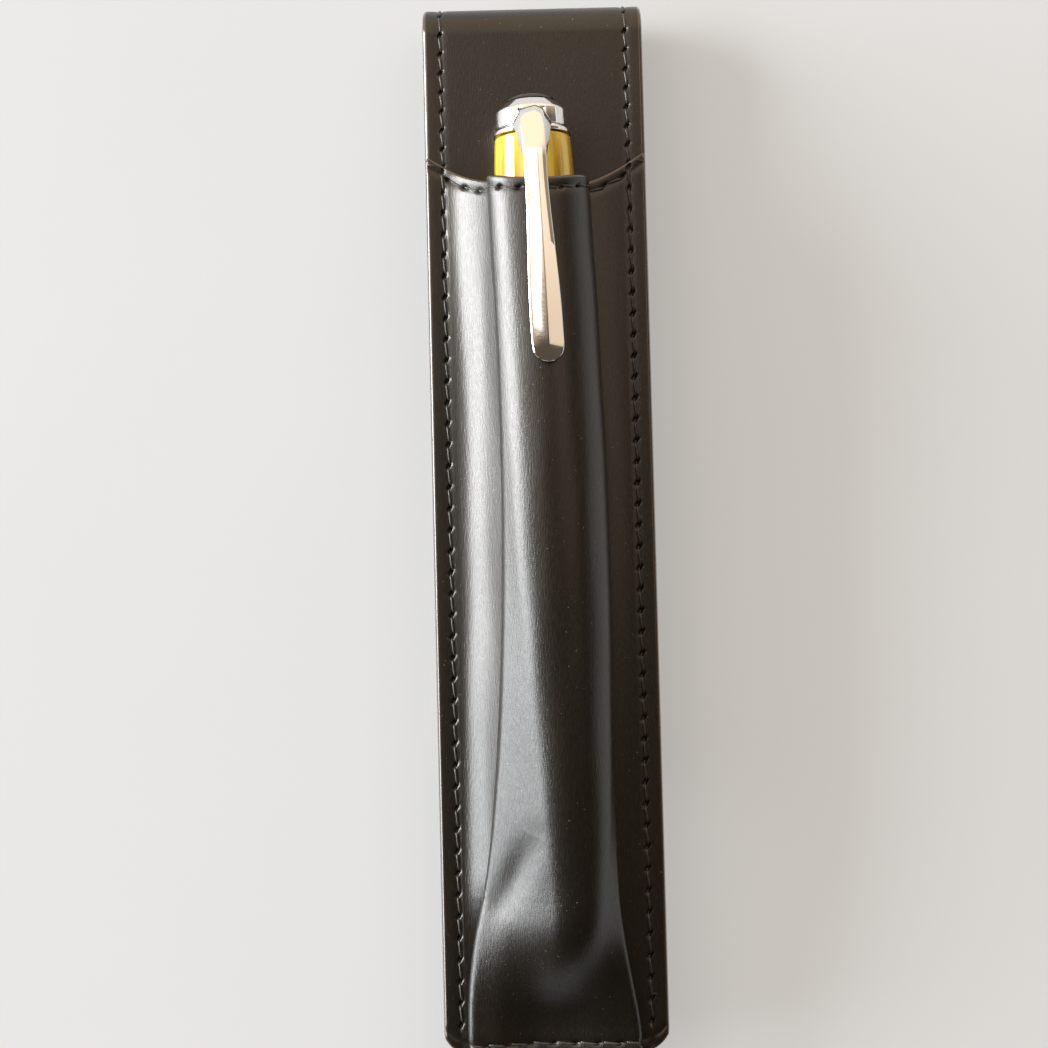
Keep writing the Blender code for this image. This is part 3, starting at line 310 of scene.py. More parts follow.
class Paint:
    """A material's nodes, with short ways to add a texture and a bump."""

    def __init__(self, name, colour, roughness, **fixed):
        self.material = bpy.data.materials.new(name)
        self.material.use_nodes = True
        self.tree = self.material.node_tree
        self.shader = self.tree.nodes["Principled BSDF"]
        fixed.update(Base_Color=(*colour, 1), Roughness=roughness)
        for socket, value in fixed.items():
            self.shader.inputs[socket.replace("_", " ")].default_value = value
        self.place = add_node(self.tree, "TexCoord", {}).outputs["Object"]
        self.bumped = None

    def noise(self, scale, detail=2.0, turn=0.0):
        """Noise whose grain is 1 / scale metres long on each axis, turned about Z first."""
        inputs = {"Vector": self.place, "Scale": scale, "Rotation": (0, 0, turn)}
        place = add_node(self.tree, "Mapping", inputs).outputs["Vector"]
        inputs = {"Vector": place, "Scale": 1.0, "Detail": detail}
        return add_node(self.tree, "TexNoise", inputs).outputs["Fac"]

    def between(self, value, *spans):
        return map_range(self.tree, value, spans)

    def colour_between(self, share, first, second):
        """A blend of two colours, the first of which may come from another node."""
        first = (*first, 1) if isinstance(first, tuple) else first
        inputs = {"Factor": share, "A": first, "B": (*second, 1)}
        return add_node(self.tree, "Mix", inputs, data_type="RGBA").outputs["Result"]

    def tint(self, share, first, second):
        self.set("Base Color", self.colour_between(share, first, second))

    def gloss(self, value, least, most):
        self.set("Roughness", self.between(value, 0.3, 0.7, least, most))

    def bump(self, height, strength, distance):
        inputs = {"Height": height, "Strength": strength, "Distance": distance}
        if self.bumped is not None:
            inputs["Normal"] = self.bumped
        self.bumped = add_node(self.tree, "Bump", inputs).outputs["Normal"]
        self.set("Normal", self.bumped)

    def set(self, socket, value):
        self.tree.links.new(value, self.shader.inputs[socket])


def leather_paint(roughness):
    """Black calf with a fine grain, rubbed along its length, and a few dull specks."""
    paint = Paint("black_leather", (0.006, 0.0046, 0.0034), roughness, Coat_Weight=0.3, Coat_Roughness=0.28)
    cloud = paint.between(paint.noise((180, 60, 180), 3.0), 0.35, 0.7)
    tone = paint.colour_between(cloud, (0.0042, 0.0032, 0.0023), (0.0078, 0.0060, 0.0044))
    specks = paint.between(paint.noise((2600, 2600, 2600), 1.0), 0.755, 0.80)
    paint.tint(specks, tone, (0.16, 0.14, 0.12))
    rubbed = paint.noise((4800, 900, 4800), 3.0)
    paint.gloss(rubbed, roughness - 0.05, roughness + 0.07)
    paint.bump(paint.noise((420, 90, 420)), 0.20, 0.00016)
    paint.bump(rubbed, 0.75, 0.00006)
    pores = add_node(paint.tree, "TexVoronoi", {"Vector": paint.place, "Scale": 3600})
    paint.bump(pores.outputs["Distance"], 0.10, 0.00003)
    return paint.material


def chrome_paint():
    """Polished plating with hairline wear."""
    paint = Paint("chrome", (0.88, 0.87, 0.85), 0.07, Metallic=1.0)
    wear = paint.noise((1400, 5200, 1400), 3.0)
    paint.set("Roughness", paint.between(wear, 0.35, 0.75, 0.05, 0.13))
    paint.bump(paint.noise((500, 500, 500)), 0.05, 0.00005)
    return paint.material


def resin_paint(name, dark, light):
    """Turned resin with streaks drawn out along the pen and a polished skin."""
    paint = Paint(name, light, 0.12, Coat_Weight=0.8, Coat_Roughness=0.04, Subsurface_Weight=0.20,
                  Subsurface_Radius=(0.0024, 0.0015, 0.0004), Subsurface_Scale=1.0)
    streak = paint.noise((520, 36, 520), 3.0, -PEN_LEAN)
    paint.tint(paint.between(streak, 0.34, 0.62), dark, light)
    paint.gloss(streak, 0.09, 0.16)
    paint.bump(paint.noise((260, 260, 260)), 0.03, 0.00008)
    return paint.material


def grained_paint(name, colour, roughness, grain, detail=2.0, turn=0.0, tones=None, gloss=None, bump=None,
                  **fixed):
    """A surface whose tone, roughness and relief, where they are given, follow one fine grain."""
    paint = Paint(name, colour, roughness, **fixed)
    fine = paint.noise(grain, detail, turn)
    if tones:
        paint.tint(fine, *tones)
    if gloss:
        paint.gloss(fine, *gloss)
    if bump:
        paint.bump(fine, *bump)
    return paint.material


LEATHER = leather_paint(0.335)
LINING = grained_paint("lining_suede", (0.030, 0.026, 0.022), 0.75, (5200, 5200, 5200), 3.0,
                       tones=((0.016, 0.014, 0.012), (0.045, 0.039, 0.033)), bump=(0.5, 0.00006),
                       Sheen_Weight=0.25, Sheen_Roughness=0.6)
EDGE = grained_paint("painted_edge", (0.030, 0.020, 0.013), 0.22, (900, 350, 900), 3.0,
                     tones=((0.018, 0.012, 0.008), (0.060, 0.040, 0.026)), gloss=(0.16, 0.30),
                     bump=(0.25, 0.00008), Coat_Weight=1.0, Coat_Roughness=0.16)
THREAD = grained_paint("waxed_thread", (0.014, 0.013, 0.012), 0.38, (9000, 2600, 9000),
                       tones=((0.008, 0.008, 0.008), (0.070, 0.066, 0.060)), bump=(0.4, 0.00004),
                       Sheen_Weight=0.15, Sheen_Roughness=0.4)
CHROME = chrome_paint()
YELLOW = resin_paint("yellow_resin", (0.30, 0.15, 0.006), (0.86, 0.62, 0.020))
BLACK = grained_paint("black_resin", (0.008, 0.008, 0.009), 0.10, (900, 900, 900), 3.0,
                      gloss=(0.07, 0.16), bump=(0.03, 0.00004), Coat_Weight=0.6, Coat_Roughness=0.04)
FEED = grained_paint("feed_plastic", (0.015, 0.015, 0.016), 0.45, (2400, 2400, 2400),
                     gloss=(0.38, 0.55), bump=(0.10, 0.00003))
NIB = grained_paint("nib_steel", (0.74, 0.72, 0.68), 0.18, (7000, 420, 7000), turn=-PEN_LEAN,
                    gloss=(0.12, 0.28), bump=(0.12, 0.00002), Metallic=1.0)
CLEAR = grained_paint("clear_plastic", (0.80, 0.82, 0.82), 0.10, (600, 600, 600),
                      gloss=(0.06, 0.14), Transmission_Weight=0.85, IOR=1.47)


# Mesh helpers
def place_piece(name, mesh, *materials):
    for material in materials:
        mesh.materials.append(material)
    piece = bpy.data.objects.new(name, mesh)
    bpy.context.scene.collection.objects.link(piece)
    return piece


def carry(piece, body, slot, *nodes):
    """Put a piece in place of these solids, riding on a body, or fixed where it lies for the fold."""
    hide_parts(*nodes)
    if body == "fold":
        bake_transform(piece)
    else:
        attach(piece, body)


def smooth_piece(name, work, *materials, sharp=None):
    """Turn a filled bmesh into a smooth piece with its faces pointing out."""
    bmesh.ops.recalc_face_normals(work, faces=work.faces)
    mesh = bpy.data.meshes.new(name)
    work.to_mesh(mesh)
    work.free()
    mesh.shade_smooth()
    if sharp is not None:
        mesh.set_sharp_from_angle(angle=sharp)
    return place_piece(name, mesh, *materials)


def rim_loop(rows, columns):
    """Row and column of each place round the outline of a grid, in order."""
    loop = [(0, j) for j in range(columns)] + [(i, columns - 1) for i in range(1, rows)]
    loop += [(rows - 1, j) for j in range(columns - 2, -1, -1)] + [(i, 0) for i in range(rows - 2, 0, -1)]
    return loop


def leather_sheet(name, middle, normals, thickness, cover, dents=None):
    """A closed sheet of leather round a grid of middle points, with rounded cut edges."""
    rows, columns = middle.shape[:2]
    half = thickness / 2
    edge_radius = thickness * EDGE_SHARE
    dents = np.zeros((rows, columns)) if dents is None else dents
    top = middle + normals * (half - dents[..., None])
    low = middle - normals * half
    loop = rim_loop(rows, columns)
    rim = np.array([middle[i, j] for i, j in loop])
    rim_up = np.array([normals[i, j] for i, j in loop])
    ahead = np.roll(rim, -1, 0) - np.roll(rim, 1, 0)
    away = np.cross(ahead, rim_up)
    away /= np.linalg.norm(away, axis=1)[:, None] + TINY
    inward = np.array([middle[min(max(i, 1), rows - 2), min(max(j, 1), columns - 2)] for i, j in loop]) - rim
    away *= -np.sign(np.sum(away * inward, axis=1))[:, None]
    points = [top.reshape(-1, 3), low.reshape(-1, 3)]
    for step in range(1, EDGE_STEPS):
        turn = math.pi / 2 - math.pi * step / EDGE_STEPS
        points.append(rim + away * edge_radius * math.cos(turn) + rim_up * half * math.sin(turn))
    count = rows * columns
    faces = []
    for i in range(rows - 1):
        for j in range(columns - 1):
            a = i * columns + j
            faces.append((a, a + columns, a + columns + 1, a + 1))
            faces.append((count + a, count + a + 1, count + a + columns + 1, count + a + columns))
    sheet_faces = len(faces)
    flat = [i * columns + j for i, j in loop]
    around = range(len(loop))
    rings = [flat] + [[2 * count + ring * len(loop) + k for k in around] for ring in range(EDGE_STEPS - 1)]
    rings.append([count + place for place in flat])
    for ring, following in zip(rings, rings[1:]):
        for k in around:
            after = (k + 1) % len(loop)
            faces.append((ring[k], ring[after], following[after], following[k]))
    mesh = bpy.data.meshes.new(name)
    mesh.from_pydata(np.concatenate(points).tolist(), [], faces)
    for face in mesh.polygons[sheet_faces:]:
        face.material_index = 1
    work = bmesh.new()
    work.from_mesh(mesh)
    bpy.data.meshes.remove(mesh)
    return smooth_piece(name, work, cover, EDGE)


def sewn_rows(start, end, pitch):
    """Places along a seam, close together about each hole, and the holes themselves."""
    count = max(1, round(abs(end - start) / pitch))
    step = (end - start) / count
    holes = [start + step * k for k in range(count + 1)]
    offsets = [-0.21, -0.16, -0.11, -0.055, 0.0, 0.055, 0.11, 0.16, 0.21, 0.34, 0.5, 0.66]
    rows = [hole + step * offset for hole in holes for offset in offsets]
    return rows, holes


def hole_dent(across, along, holes):
    """Depth of the slanting stitch holes and of the sunk line between them."""
    line = SEAM_SINK * math.exp(-(across / SEAM_SINK_WIDTH) ** 2)
    if abs(across) > 2 * HOLE_LENGTH:
        return line
    near = min((along - hole for hole in holes), key=abs)
    lengthwise = across * math.sin(HOLE_TURN) + near * math.cos(HOLE_TURN)
    sideways = across * math.cos(HOLE_TURN) - near * math.sin(HOLE_TURN)
    return line + HOLE_DEPTH * math.exp(-(lengthwise / HOLE_LENGTH) ** 4 - (sideways / HOLE_WIDTH) ** 4)


def sewn_columns():
    """Places across the strap, close together near its edges and seams."""
    edge = HALF_WIDTH - OUTER_LEATHER * EDGE_SHARE
    offsets = [-1.3, -0.8, -0.5, -0.34, -0.22, -0.1, 0.0, 0.1, 0.22, 0.34, 0.5, 0.8, 1.3, 1.8]
    near = [SEAM_X + offset / 1000 for offset in offsets] + [edge]
    inner = [SEAM_X * share for share in (0.2, 0.4, 0.6, 0.75, 0.86)]
    side = inner + near
    return [-x for x in reversed(side)] + [0.0] + side


def corner_rise(x):
    """How far the strap's rounded end stands back at this place across it."""
    past = max(0.0, abs(x) - (HALF_WIDTH - END_CORNER))
    return END_CORNER - math.sqrt(max(0.0, END_CORNER ** 2 - past ** 2))


# Strap, fold and flap
def strip_place(along, radius):
    """Place, level and outward direction at a length along a strip over the fold."""
    straight = FOLD_Y - BOTTOM_Y
    bend = math.pi * radius
    if along < straight:
        return BOTTOM_Y + along, FOLD_RADIUS + radius, (0.0, 1.0)
    if along < straight + bend:
        turn = (along - straight) / radius
        across, up = math.sin(turn), math.cos(turn)
        return FOLD_Y + radius * across, FOLD_RADIUS + radius * up, (across, up)
    return FOLD_Y - (along - straight - bend), FOLD_RADIUS - radius, (0.0, -1.0)


def strip_length(radius):
    return FOLD_Y - BOTTOM_Y + math.pi * radius + FOLD_Y - FLAP_END_Y


def strip_grid(rows, columns, radius, inset):
    """Middle points and outward normals of a strip from the strap's end to the flap's end."""
    total = strip_length(radius)
    middle = np.zeros((len(rows), len(columns), 3))
    normals = np.zeros_like(middle)
    for i, along in enumerate(rows):
        along = mix(inset, total - inset, along / total)
        for j, x in enumerate(columns):
            first = max(0.0, 1 - along / (2 * END_CORNER))
            last = max(0.0, 1 - (total - along) / (2 * END_CORNER))
            y, z, (ny, nz) = strip_place(along + corner_rise(x) * (first - last), radius)
            middle[i, j] = (x, y, z)
            normals[i, j] = (0.0, ny, nz)
    return middle, normals


def end_rows(total, count):
    """Rows close together over the rounded ends of a strip of this length."""
    near = [END_CORNER * step / CORNER_STEPS for step in range(count)]
    return near + [total - row for row in near]


def unique_sorted(values, least):
    kept = []
    for value in sorted(values):
        if not kept or value - kept[-1] > least:
            kept.append(value)
    return kept


def seam_marks():
    """Lengths along the outer leather of its seams' start, the fold's two ends and the seams' end."""
    straight = FOLD_Y - BOTTOM_Y
    bend = math.pi * OUTER_RADIUS
    mouth = mouth_edge(SEAM_X) - BOTTOM_Y
    return mouth, straight, straight + bend, straight + bend + FOLD_Y - FLAP_END_Y - SEAM_INSET


def build_strip():
    """The outer leather, from under the pocket over the fold to the rear flap, and its lining."""
    mouth, fold_start, fold_end, seam_end = seam_marks()
    total = seam_end + SEAM_INSET
    rows = [mouth * step / STRAP_ROWS for step in range(STRAP_ROWS + 1)] + end_rows(total, 12)
    holes = []
    for start, end in ((mouth, fold_start), (fold_start, fold_end), (fold_end, seam_end)):
        more, marks = sewn_rows(start, end, STITCH_PITCH)
        rows += [row for row in more if 0 <= row <= total]
        holes += marks
    offsets = [-1.0, -0.5, -0.34, -0.22, -0.1, 0.1, 0.22, 0.34, 0.5, 1.0]
    cross = [seam_end + offset / 1000 for offset in offsets]
    rows = unique_sorted(rows + cross + [total], 0.00005)
    columns = sewn_columns()
    edge = OUTER_LEATHER * EDGE_SHARE
    middle, normals = strip_grid(rows, columns, OUTER_RADIUS, edge)
    dents = np.zeros(middle.shape[:2])
    cross_holes = even_places(-SEAM_X, SEAM_X, STITCH_PITCH)
    for i, along in enumerate(rows):
        for j, x in enumerate(columns):
            if along > mouth - STITCH_PITCH and along < seam_end + STITCH_PITCH:
                dents[i, j] = hole_dent(x - math.copysign(SEAM_X, x), along, holes)
            if abs(along - seam_end) < 0.003 and abs(x) < SEAM_X:
                dents[i, j] = max(dents[i, j], hole_dent(along - seam_end, x, cross_holes))
    strip = leather_sheet("case_leather", middle, normals, OUTER_LEATHER, LEATHER, dents)
    carry(strip, "fold", "black_leather", "strap_outer", "fold_outer", "flap_outer")

    lining_radius = LINING_RADIUS - LINING_LEATHER / 2
    total = strip_length(lining_radius)
    rows = [total * step / LINING_ROWS for step in range(LINING_ROWS + 1)] + end_rows(total, 8)
    rows = unique_sorted(rows, 0.0002)
    edge = LINING_LEATHER * EDGE_SHARE
    columns = [(HALF_WIDTH - edge) * math.sin(math.pi / 2 * step / 12) for step in range(-12, 13)]
    middle, normals = strip_grid(rows, columns, lining_radius, edge)
    inside = leather_sheet("case_lining", middle, normals, LINING_LEATHER, LINING)
    carry(inside, "fold", "leather_lining", "strap_lining", "fold_lining", "flap_lining")


def even_places(start, end, pitch):
    count = max(1, round(abs(end - start) / pitch))
    return [mix(start, end, k / count) for k in range(count + 1)]


# Pocket
def pen_x(y):
    """Place across the strap of the pen's leaning axis."""
    return PEN_LIP.x - (y - PEN_LIP.y) * math.tan(PEN_LEAN)


def mouth_edge(x):
    """Level of the pocket's curved mouth at this place across it."""
    return MOUTH_Y - MOUTH_DIP * (1 - (x / HALF_WIDTH) ** 2)


def polar(centre, radius, start, end, steps):
    turns = [mix(start, end, step / steps) for step in range(steps + 1)]
    return [Vector((centre[0] + radius * math.cos(turn), centre[1] + radius * math.sin(turn)))
            for turn in turns]


def spread_points(dense, count):
    """Pick points along a dense line, closer together where it bends."""
    dense = np.array([tuple(point) for point in dense])
    steps = np.diff(dense, axis=0)
    lengths = np.linalg.norm(steps, axis=1)
    headings = np.unwrap(np.arctan2(steps[:, 1], steps[:, 0]))
    bends = np.abs(np.diff(headings, prepend=headings[0])) * (lengths > 1e-7)
    travel = np.concatenate([[0], np.cumsum(lengths + BEND_WEIGHT * np.minimum(bends, 0.5))])
    goals = np.linspace(0, travel[-1], count + 1)
    return [Vector(along_run(dense, travel, goal)) for goal in goals]


def left_pleat(y, upper, lower, crest, crest_radius):
    """End, bend and valley radius of the left leaf, then the middle and radius of its fold."""
    fold = mix(SOFT_FOLD_RADIUS, PLEAT_FOLD_RADIUS, ease((upper - 0.3) / 0.62))
    share = clamp((LEFT_SPREAD_Y - y) / (LEFT_SPREAD_Y - TAIL_Y)) ** 2
    opening = lower * (2 - lower)
    on_dome = crest + (crest_radius - fold) * Vector((math.cos(DOME_LEAVE), math.sin(DOME_LEAVE)))
    fold_x = mix(mix(on_dome.x, LEFT_FOLD_AT_TAIL[0], share), LEFT_PLEAT_X - fold, opening)
    fold_z = mix(mix(on_dome.y, LEFT_FOLD_AT_TAIL[1], share ** 1.1), PLEAT_EDGE_Z, opening)
    at_tail, at_foot = LEFT_LEAF_END
    end_x = mix(mix(crest.x + LEFT_LEAF_REACH, at_tail, share), at_foot, ease(lower))
    run = mix(*LEFT_LEAF_SAG, share) * (LEAF_START - end_x)
    lift_tilt = MOUTH_LEAF_LIFT * (1 - ease((MOUTH_Y - MOUTH_DIP - y) / MOUTH_LEAF_LENGTH))
    lift = (LEAF_START - end_x - run) * math.tan(lift_tilt)
    rise = lift + run * math.tan(mix(*LEFT_LEAF_TILT, share ** 2)) * (1 - opening) ** 1.6
    bend = Vector((end_x + run, FLANGE_Z + lift))
    return Vector((end_x, FLANGE_Z + rise)), bend, LEFT_VALLEY_RADIUS, Vector((fold_x, fold_z)), fold


def right_pleat(upper, lower, y):
    """The same for the right side, whose wall stands straight behind a sharp valley."""
    spread = mix(RIGHT_SPREAD_AT_TAIL * upper ** 2, 1, lower ** RIGHT_SPREAD_DELAY)
    wall = DOME_RADIUS + pen_x(y) * (1 - ease(upper))
    leaf_end = Vector((wall + PLEAT_FOLD_RADIUS, FLANGE_Z + RIGHT_LEAF_RISE * (1 - spread)))
    fold_x = mix(wall, RIGHT_PLEAT_X, spread) - PLEAT_FOLD_RADIUS
    turn_out = Vector((fold_x, mix(PEN_Z, PLEAT_EDGE_Z, spread ** 2)))
    bend = Vector((mix(leaf_end.x, LEAF_START, RIGHT_LEAF_SAG), FLANGE_Z))
    return leaf_end, bend, PLEAT_FOLD_RADIUS, turn_out, PLEAT_FOLD_RADIUS


def pocket_half(y, side):
    """Middle line of half the pocket's section, from the strap's edge to the crest."""
    upper = clamp((DOME_END_Y - y) / (DOME_END_Y - TAIL_Y))
    lower = clamp((TAIL_Y - y) / (TAIL_Y - FOOT_Y))
    held = 1 - (1 - CREST_AT_TAIL) * upper ** 2
    crest_radius = mix(FOOT_Z, DOME_Z, held) - PEN_Z
    crest_z = mix(FOOT_Z, DOME_Z, held * (1 - ease(lower) ** CREST_HOLD))
    crest = Vector((side * pen_x(y) * (1 - ease(lower)), crest_z - crest_radius))
    if side < 0:
        leaf_end, bend, valley, turn_out, fold = left_pleat(y, upper, lower, crest, crest_radius)
    else:
        leaf_end, bend, valley, turn_out, fold = right_pleat(upper, lower, y)

    points = [Vector((x, FLANGE_Z)) for x in reversed(sewn_columns()) if x > LEAF_START - 0.0001]
    points += bezier([points[-1], bend, leaf_end], LEAF_STEPS)[1:-1]
    tilt = math.atan2(leaf_end.y - bend.y, bend.x - leaf_end.x)
    turn_in = leaf_end + valley * Vector((math.sin(tilt), math.cos(tilt)))
    between = turn_out - turn_in
    slope = math.atan2(between.y, between.x) - math.asin(min(1, (valley + fold) / between.length))
    points += polar(turn_in, valley, 1.5 * math.pi - tilt, 0.5 * math.pi + slope, VALLEY_STEPS)

    reach = turn_out - crest
    leave = math.atan2(reach.y, reach.x)
    leave += math.acos(min(1, (crest_radius - fold) / reach.length))
    leave = min(leave, math.pi / 2 - LEAST_BEND)
    arrive = min(slope - math.pi / 2, leave - LEAST_BEND)
    front = points[-1:] + polar(turn_out, fold, arrive, leave, DENSE_STEPS)
    front += polar(crest, crest_radius, leave, math.pi / 2, DENSE_STEPS)
    press = FOOT_PRESS * ease(1.6 * lower - 0.6)
    for point in spread_points(front, FRONT_STEPS)[1:]:
        drop = press * foot_valley(side * point.x) if point.y > turn_out.y else 0
        points.append(point - Vector((0, drop)))
    return [Vector((side * point.x, point.y)) for point in points]


def foot_valley(x):
    """How deep the foot is pressed down between its pleats, as a share."""
    left, lowest, right = FOOT_VALLEY
    return ease((x - left) / (lowest - left)) if x < lowest else ease((right - x) / (right - lowest))


def pocket_section(y):
    """The section's middle line from left to right, and its outward normals."""
    line = 0
    for step, weight in enumerate(SETTLE_SHARES):
        level = y + SETTLE_LENGTH * (step / (len(SETTLE_SHARES) // 2) - 1)
        points = pocket_half(level, -1) + pocket_half(level, 1)[-2::-1]
        line = line + np.array([tuple(point) for point in points]) * weight / sum(SETTLE_SHARES)
    steps = np.diff(line, axis=0)
    steps /= np.linalg.norm(steps, axis=1)[:, None] + TINY
    ahead = np.concatenate([steps[:1], steps[:-1] + steps[1:], steps[-1:]])
    ahead /= np.linalg.norm(ahead, axis=1)[:, None] + TINY
    return line, np.stack([-ahead[:, 1], ahead[:, 0]], axis=1)


def row_shift(y, x, z):
    """How far a point moves along Y to follow the sloping mouth and the rounded end."""
    below = MOUTH_Y - y
    dip = MOUTH_Y - mouth_edge(x) + MOUTH_SLOPE * (z - FLANGE_Z)
    near_mouth = 1 - ease((below - FACING_DEPTH) / MOUTH_BLEND)
    near_end = 1 - clamp((y - BOTTOM_Y) / (2 * END_CORNER))
    return corner_rise(x) * near_end - dip * near_mouth


def pocket_surface(y, offset=0.0):
    """Points and normals in space along the pocket's section at one level."""
    line, out = pocket_section(y)
    shift = np.array([y + row_shift(y, x, z) for x, z in line])
    spots = np.stack([line[:, 0] + out[:, 0] * offset, shift, line[:, 1] + out[:, 1] * offset], axis=1)
    return spots, np.stack([out[:, 0], np.zeros(len(out)), out[:, 1]], axis=1)


def travel_along(points):
    return np.concatenate([[0], np.cumsum(np.linalg.norm(np.diff(points, axis=0), axis=1))])


def build_pocket():
    """Pocket front: pleats that lie flat at the foot and open into a dome over the pen."""
    side_start = mouth_edge(SEAM_X) - HEM_INSET / 2
    side_end = BOTTOM_Y + END_CORNER
    rows, holes = sewn_rows(side_start, side_end, STITCH_PITCH)
    edge = POCKET_LEATHER * EDGE_SHARE
    hem_y = MOUTH_Y - HEM_INSET
    foot_y = BOTTOM_Y + BOTTOM_SEAM_INSET
    near_hem = [hem_y + offset / 1000 for offset in (-1.2, -0.8, -0.5, -0.3, -0.15, 0, 0.15, 0.3, 0.5, 0.8)]
    near_foot = [foot_y + offset / 1000 for offset in (-0.8, -0.5, -0.3, -0.15, 0, 0.15, 0.3, 0.5, 0.9, 1.6)]
    rows = [row for row in rows if foot_y + 0.0018 < row < hem_y - 0.0014]
    rows = unique_sorted(rows + near_hem + near_foot + [MOUTH_Y - edge, BOTTOM_Y + edge], 0.00008)[::-1]
    spots = [pocket_surface(y) for y in rows]
    middle = np.array([points for points, _ in spots])
    normals = np.array([out for _, out in spots])
    middle += normals * wear(middle)[..., None]
    dents = np.zeros(middle.shape[:2])
    across = ((hem_y, section_holes(hem_y, False)), (foot_y, section_holes(foot_y, True)))
    for i, y in enumerate(rows):
        reach = travel_along(middle[i][:, [0, 2]])
        for j in range(middle.shape[1]):
            x = middle[i, j, 0]
            if abs(middle[i, j, 2] - FLANGE_Z) < 1e-6:
                dents[i, j] = hole_dent(x - math.copysign(SEAM_X, x), middle[i, j, 1], holes)
            for seam_y, seam_holes in across:
                if abs(y - seam_y) < 0.0015:
                    dents[i, j] = max(dents[i, j], hole_dent(y - seam_y, reach[j], seam_holes))
    pocket = leather_sheet("pocket_leather", middle, normals, POCKET_LEATHER, LEATHER, dents)
    carry(pocket, "case", "black_leather", "pocket_front")


def wear(middle):
    """How far the pocket stands out from its smooth form: low waves and one soft dent."""
    lift = np.zeros(middle.shape[:2])
    start, end = (np.array(place) for place in DENT_LINE)
    along = (end - start) / np.linalg.norm(end - start)
    for i, j in np.ndindex(lift.shape):
        spot = middle[i, j]
        free = ease((spot[2] - FLANGE_Z) / WEAR_FADE)
        wave = noise.noise(Vector(spot * WAVE_SCALE))
        travel = clamp(np.dot(spot[:2] - start, along) / np.linalg.norm(end - start))
        away = np.linalg.norm(spot[:2] - (start + (end - start) * travel))
        dent = DENT_DEPTH * math.exp(-(away / DENT_WIDTH) ** 2) * math.sin(math.pi * mix(*DENT_SPAN, travel))
        lift[i, j] = free * (WAVE_HEIGHT * wave - dent)
    return lift


def section_run(level, front_only):
    """Indexes of the section's points that a seam across the pocket follows."""
    line, _ = pocket_section(level)
    middle = len(line) // 2
    if not front_only:
        return [j for j in range(len(line)) if abs(line[j, 0]) < SEAM_X - 0.0006]
    left = right = middle
    while line[left - 1, 0] < line[left, 0]:
        left -= 1
    while line[right + 1, 0] > line[right, 0]:
        right += 1
    return [j for j in range(left, right + 1) if -LEFT_PLEAT_X < line[j, 0] < RIGHT_PLEAT_X]


def section_holes(level, front_only):
    """Lengths along the section of the holes of a seam across the pocket."""
    line, _ = pocket_section(level)
    reach = travel_along(line)
    run = section_run(level, front_only)
    return even_places(reach[run[0]], reach[run[-1]], STITCH_PITCH)


def build_facing():
    """Band that stiffens the mouth from inside."""
    radius = DOME_RADIUS - POCKET_LEATHER / 2 - SEAT_GAP - FACING_LEATHER / 2
    left, right = FACING_MARGINS
    turns = np.linspace(math.pi - left, right, FACING_STEPS + 1)
    z = PEN_Z + radius * np.sin(turns)
    middle = []
    for step in range(FACING_ROWS + 1):
        below = FACING_SETBACK + FACING_DEPTH * step / FACING_ROWS
        x = pen_x(MOUTH_Y - below) + radius * np.cos(turns)
        middle.append(np.stack([x, mouth_edge(x) - MOUTH_SLOPE * (z - FLANGE_Z) - below, z], axis=1))
    middle = np.array(middle)
    normals = np.broadcast_to(np.stack([np.cos(turns), 0 * turns, np.sin(turns)], axis=1), middle.shape)
    band = leather_sheet("mouth_band", middle, normals, FACING_LEATHER, LINING)
    carry(band, "case", "leather_lining", "mouth_facing")


# Thread
def stitch_tube(work, points, normals, start, end, slant):
    """One stitch over the leather from hole to hole, laid with the thread's twist."""
    travel = travel_along(points)
    rings = []
    for step in range(STITCH_RINGS):
        share = step / (STITCH_RINGS - 1)
        at = mix(start, end, mix(*STITCH_REACH, share))
        base = Vector(along_run(points, travel, at))
        up = Vector(along_run(normals, travel, at)).normalized()
        before, after = (along_run(points, travel, at + offset) for offset in (-0.0002, 0.0002))
        ahead = Vector(after - before).normalized()
        across = ahead.cross(up).normalized()
        plateau = 1 - abs(2 * share - 1) ** 4
        lift = mix(-HOLE_DEPTH, THREAD_RADIUS * THREAD_RISE - SEAM_SINK, plateau)
        centre = base + up * lift + across * slant * (2 * share - 1)
        slim = mix(STITCH_END_SLIM, 1.0, plateau)
        ring = []
        for side in range(STITCH_SIDES):
            turn = 2 * math.pi * side / STITCH_SIDES
            ply = 1 + THREAD_PLY * math.cos(2 * turn + THREAD_TWIST * share)
            reach = THREAD_RADIUS * slim * ply
            spot = centre + across * reach * math.cos(turn) + up * reach * math.sin(turn)
            ring.append(work.verts.new(spot))
        rings.append(ring)
    for ring, following in zip(rings, rings[1:]):
        for side in range(STITCH_SIDES):
            after = (side + 1) % STITCH_SIDES
            work.faces.new((ring[side], ring[after], following[after], following[side]))
    work.faces.new(rings[0])
    work.faces.new(rings[-1])


def sew(name, runs, body, node, slant=STITCH_SLANT):
    """Sew a seam as one piece in place of a solid: each run is points, normals and the holes along them."""
    work = bmesh.new()
    for points, normals, holes in runs:
        for start, end in zip(holes, holes[1:]):
            stitch_tube(work, points, normals, start, end, slant)
    carry(smooth_piece(name, work, THREAD), body, "thread", node)


def strip_run(x, start, end, count=60):
    """A run along the outer leather's face between two lengths, with its holes."""
    points = []
    normals = []
    for step in range(count + 1):
        y, z, (ny, nz) = strip_place(mix(start, end, step / count), OUTER_RADIUS)
        points.append((x, y + ny * OUTER_LEATHER / 2, z + nz * OUTER_LEATHER / 2))
        normals.append((0, ny, nz))
    points = np.array(points)
    length = travel_along(points)[-1]
    holes = even_places(0, length, length / max(1, round(abs(end - start) / STITCH_PITCH)))
    return points, np.array(normals), holes


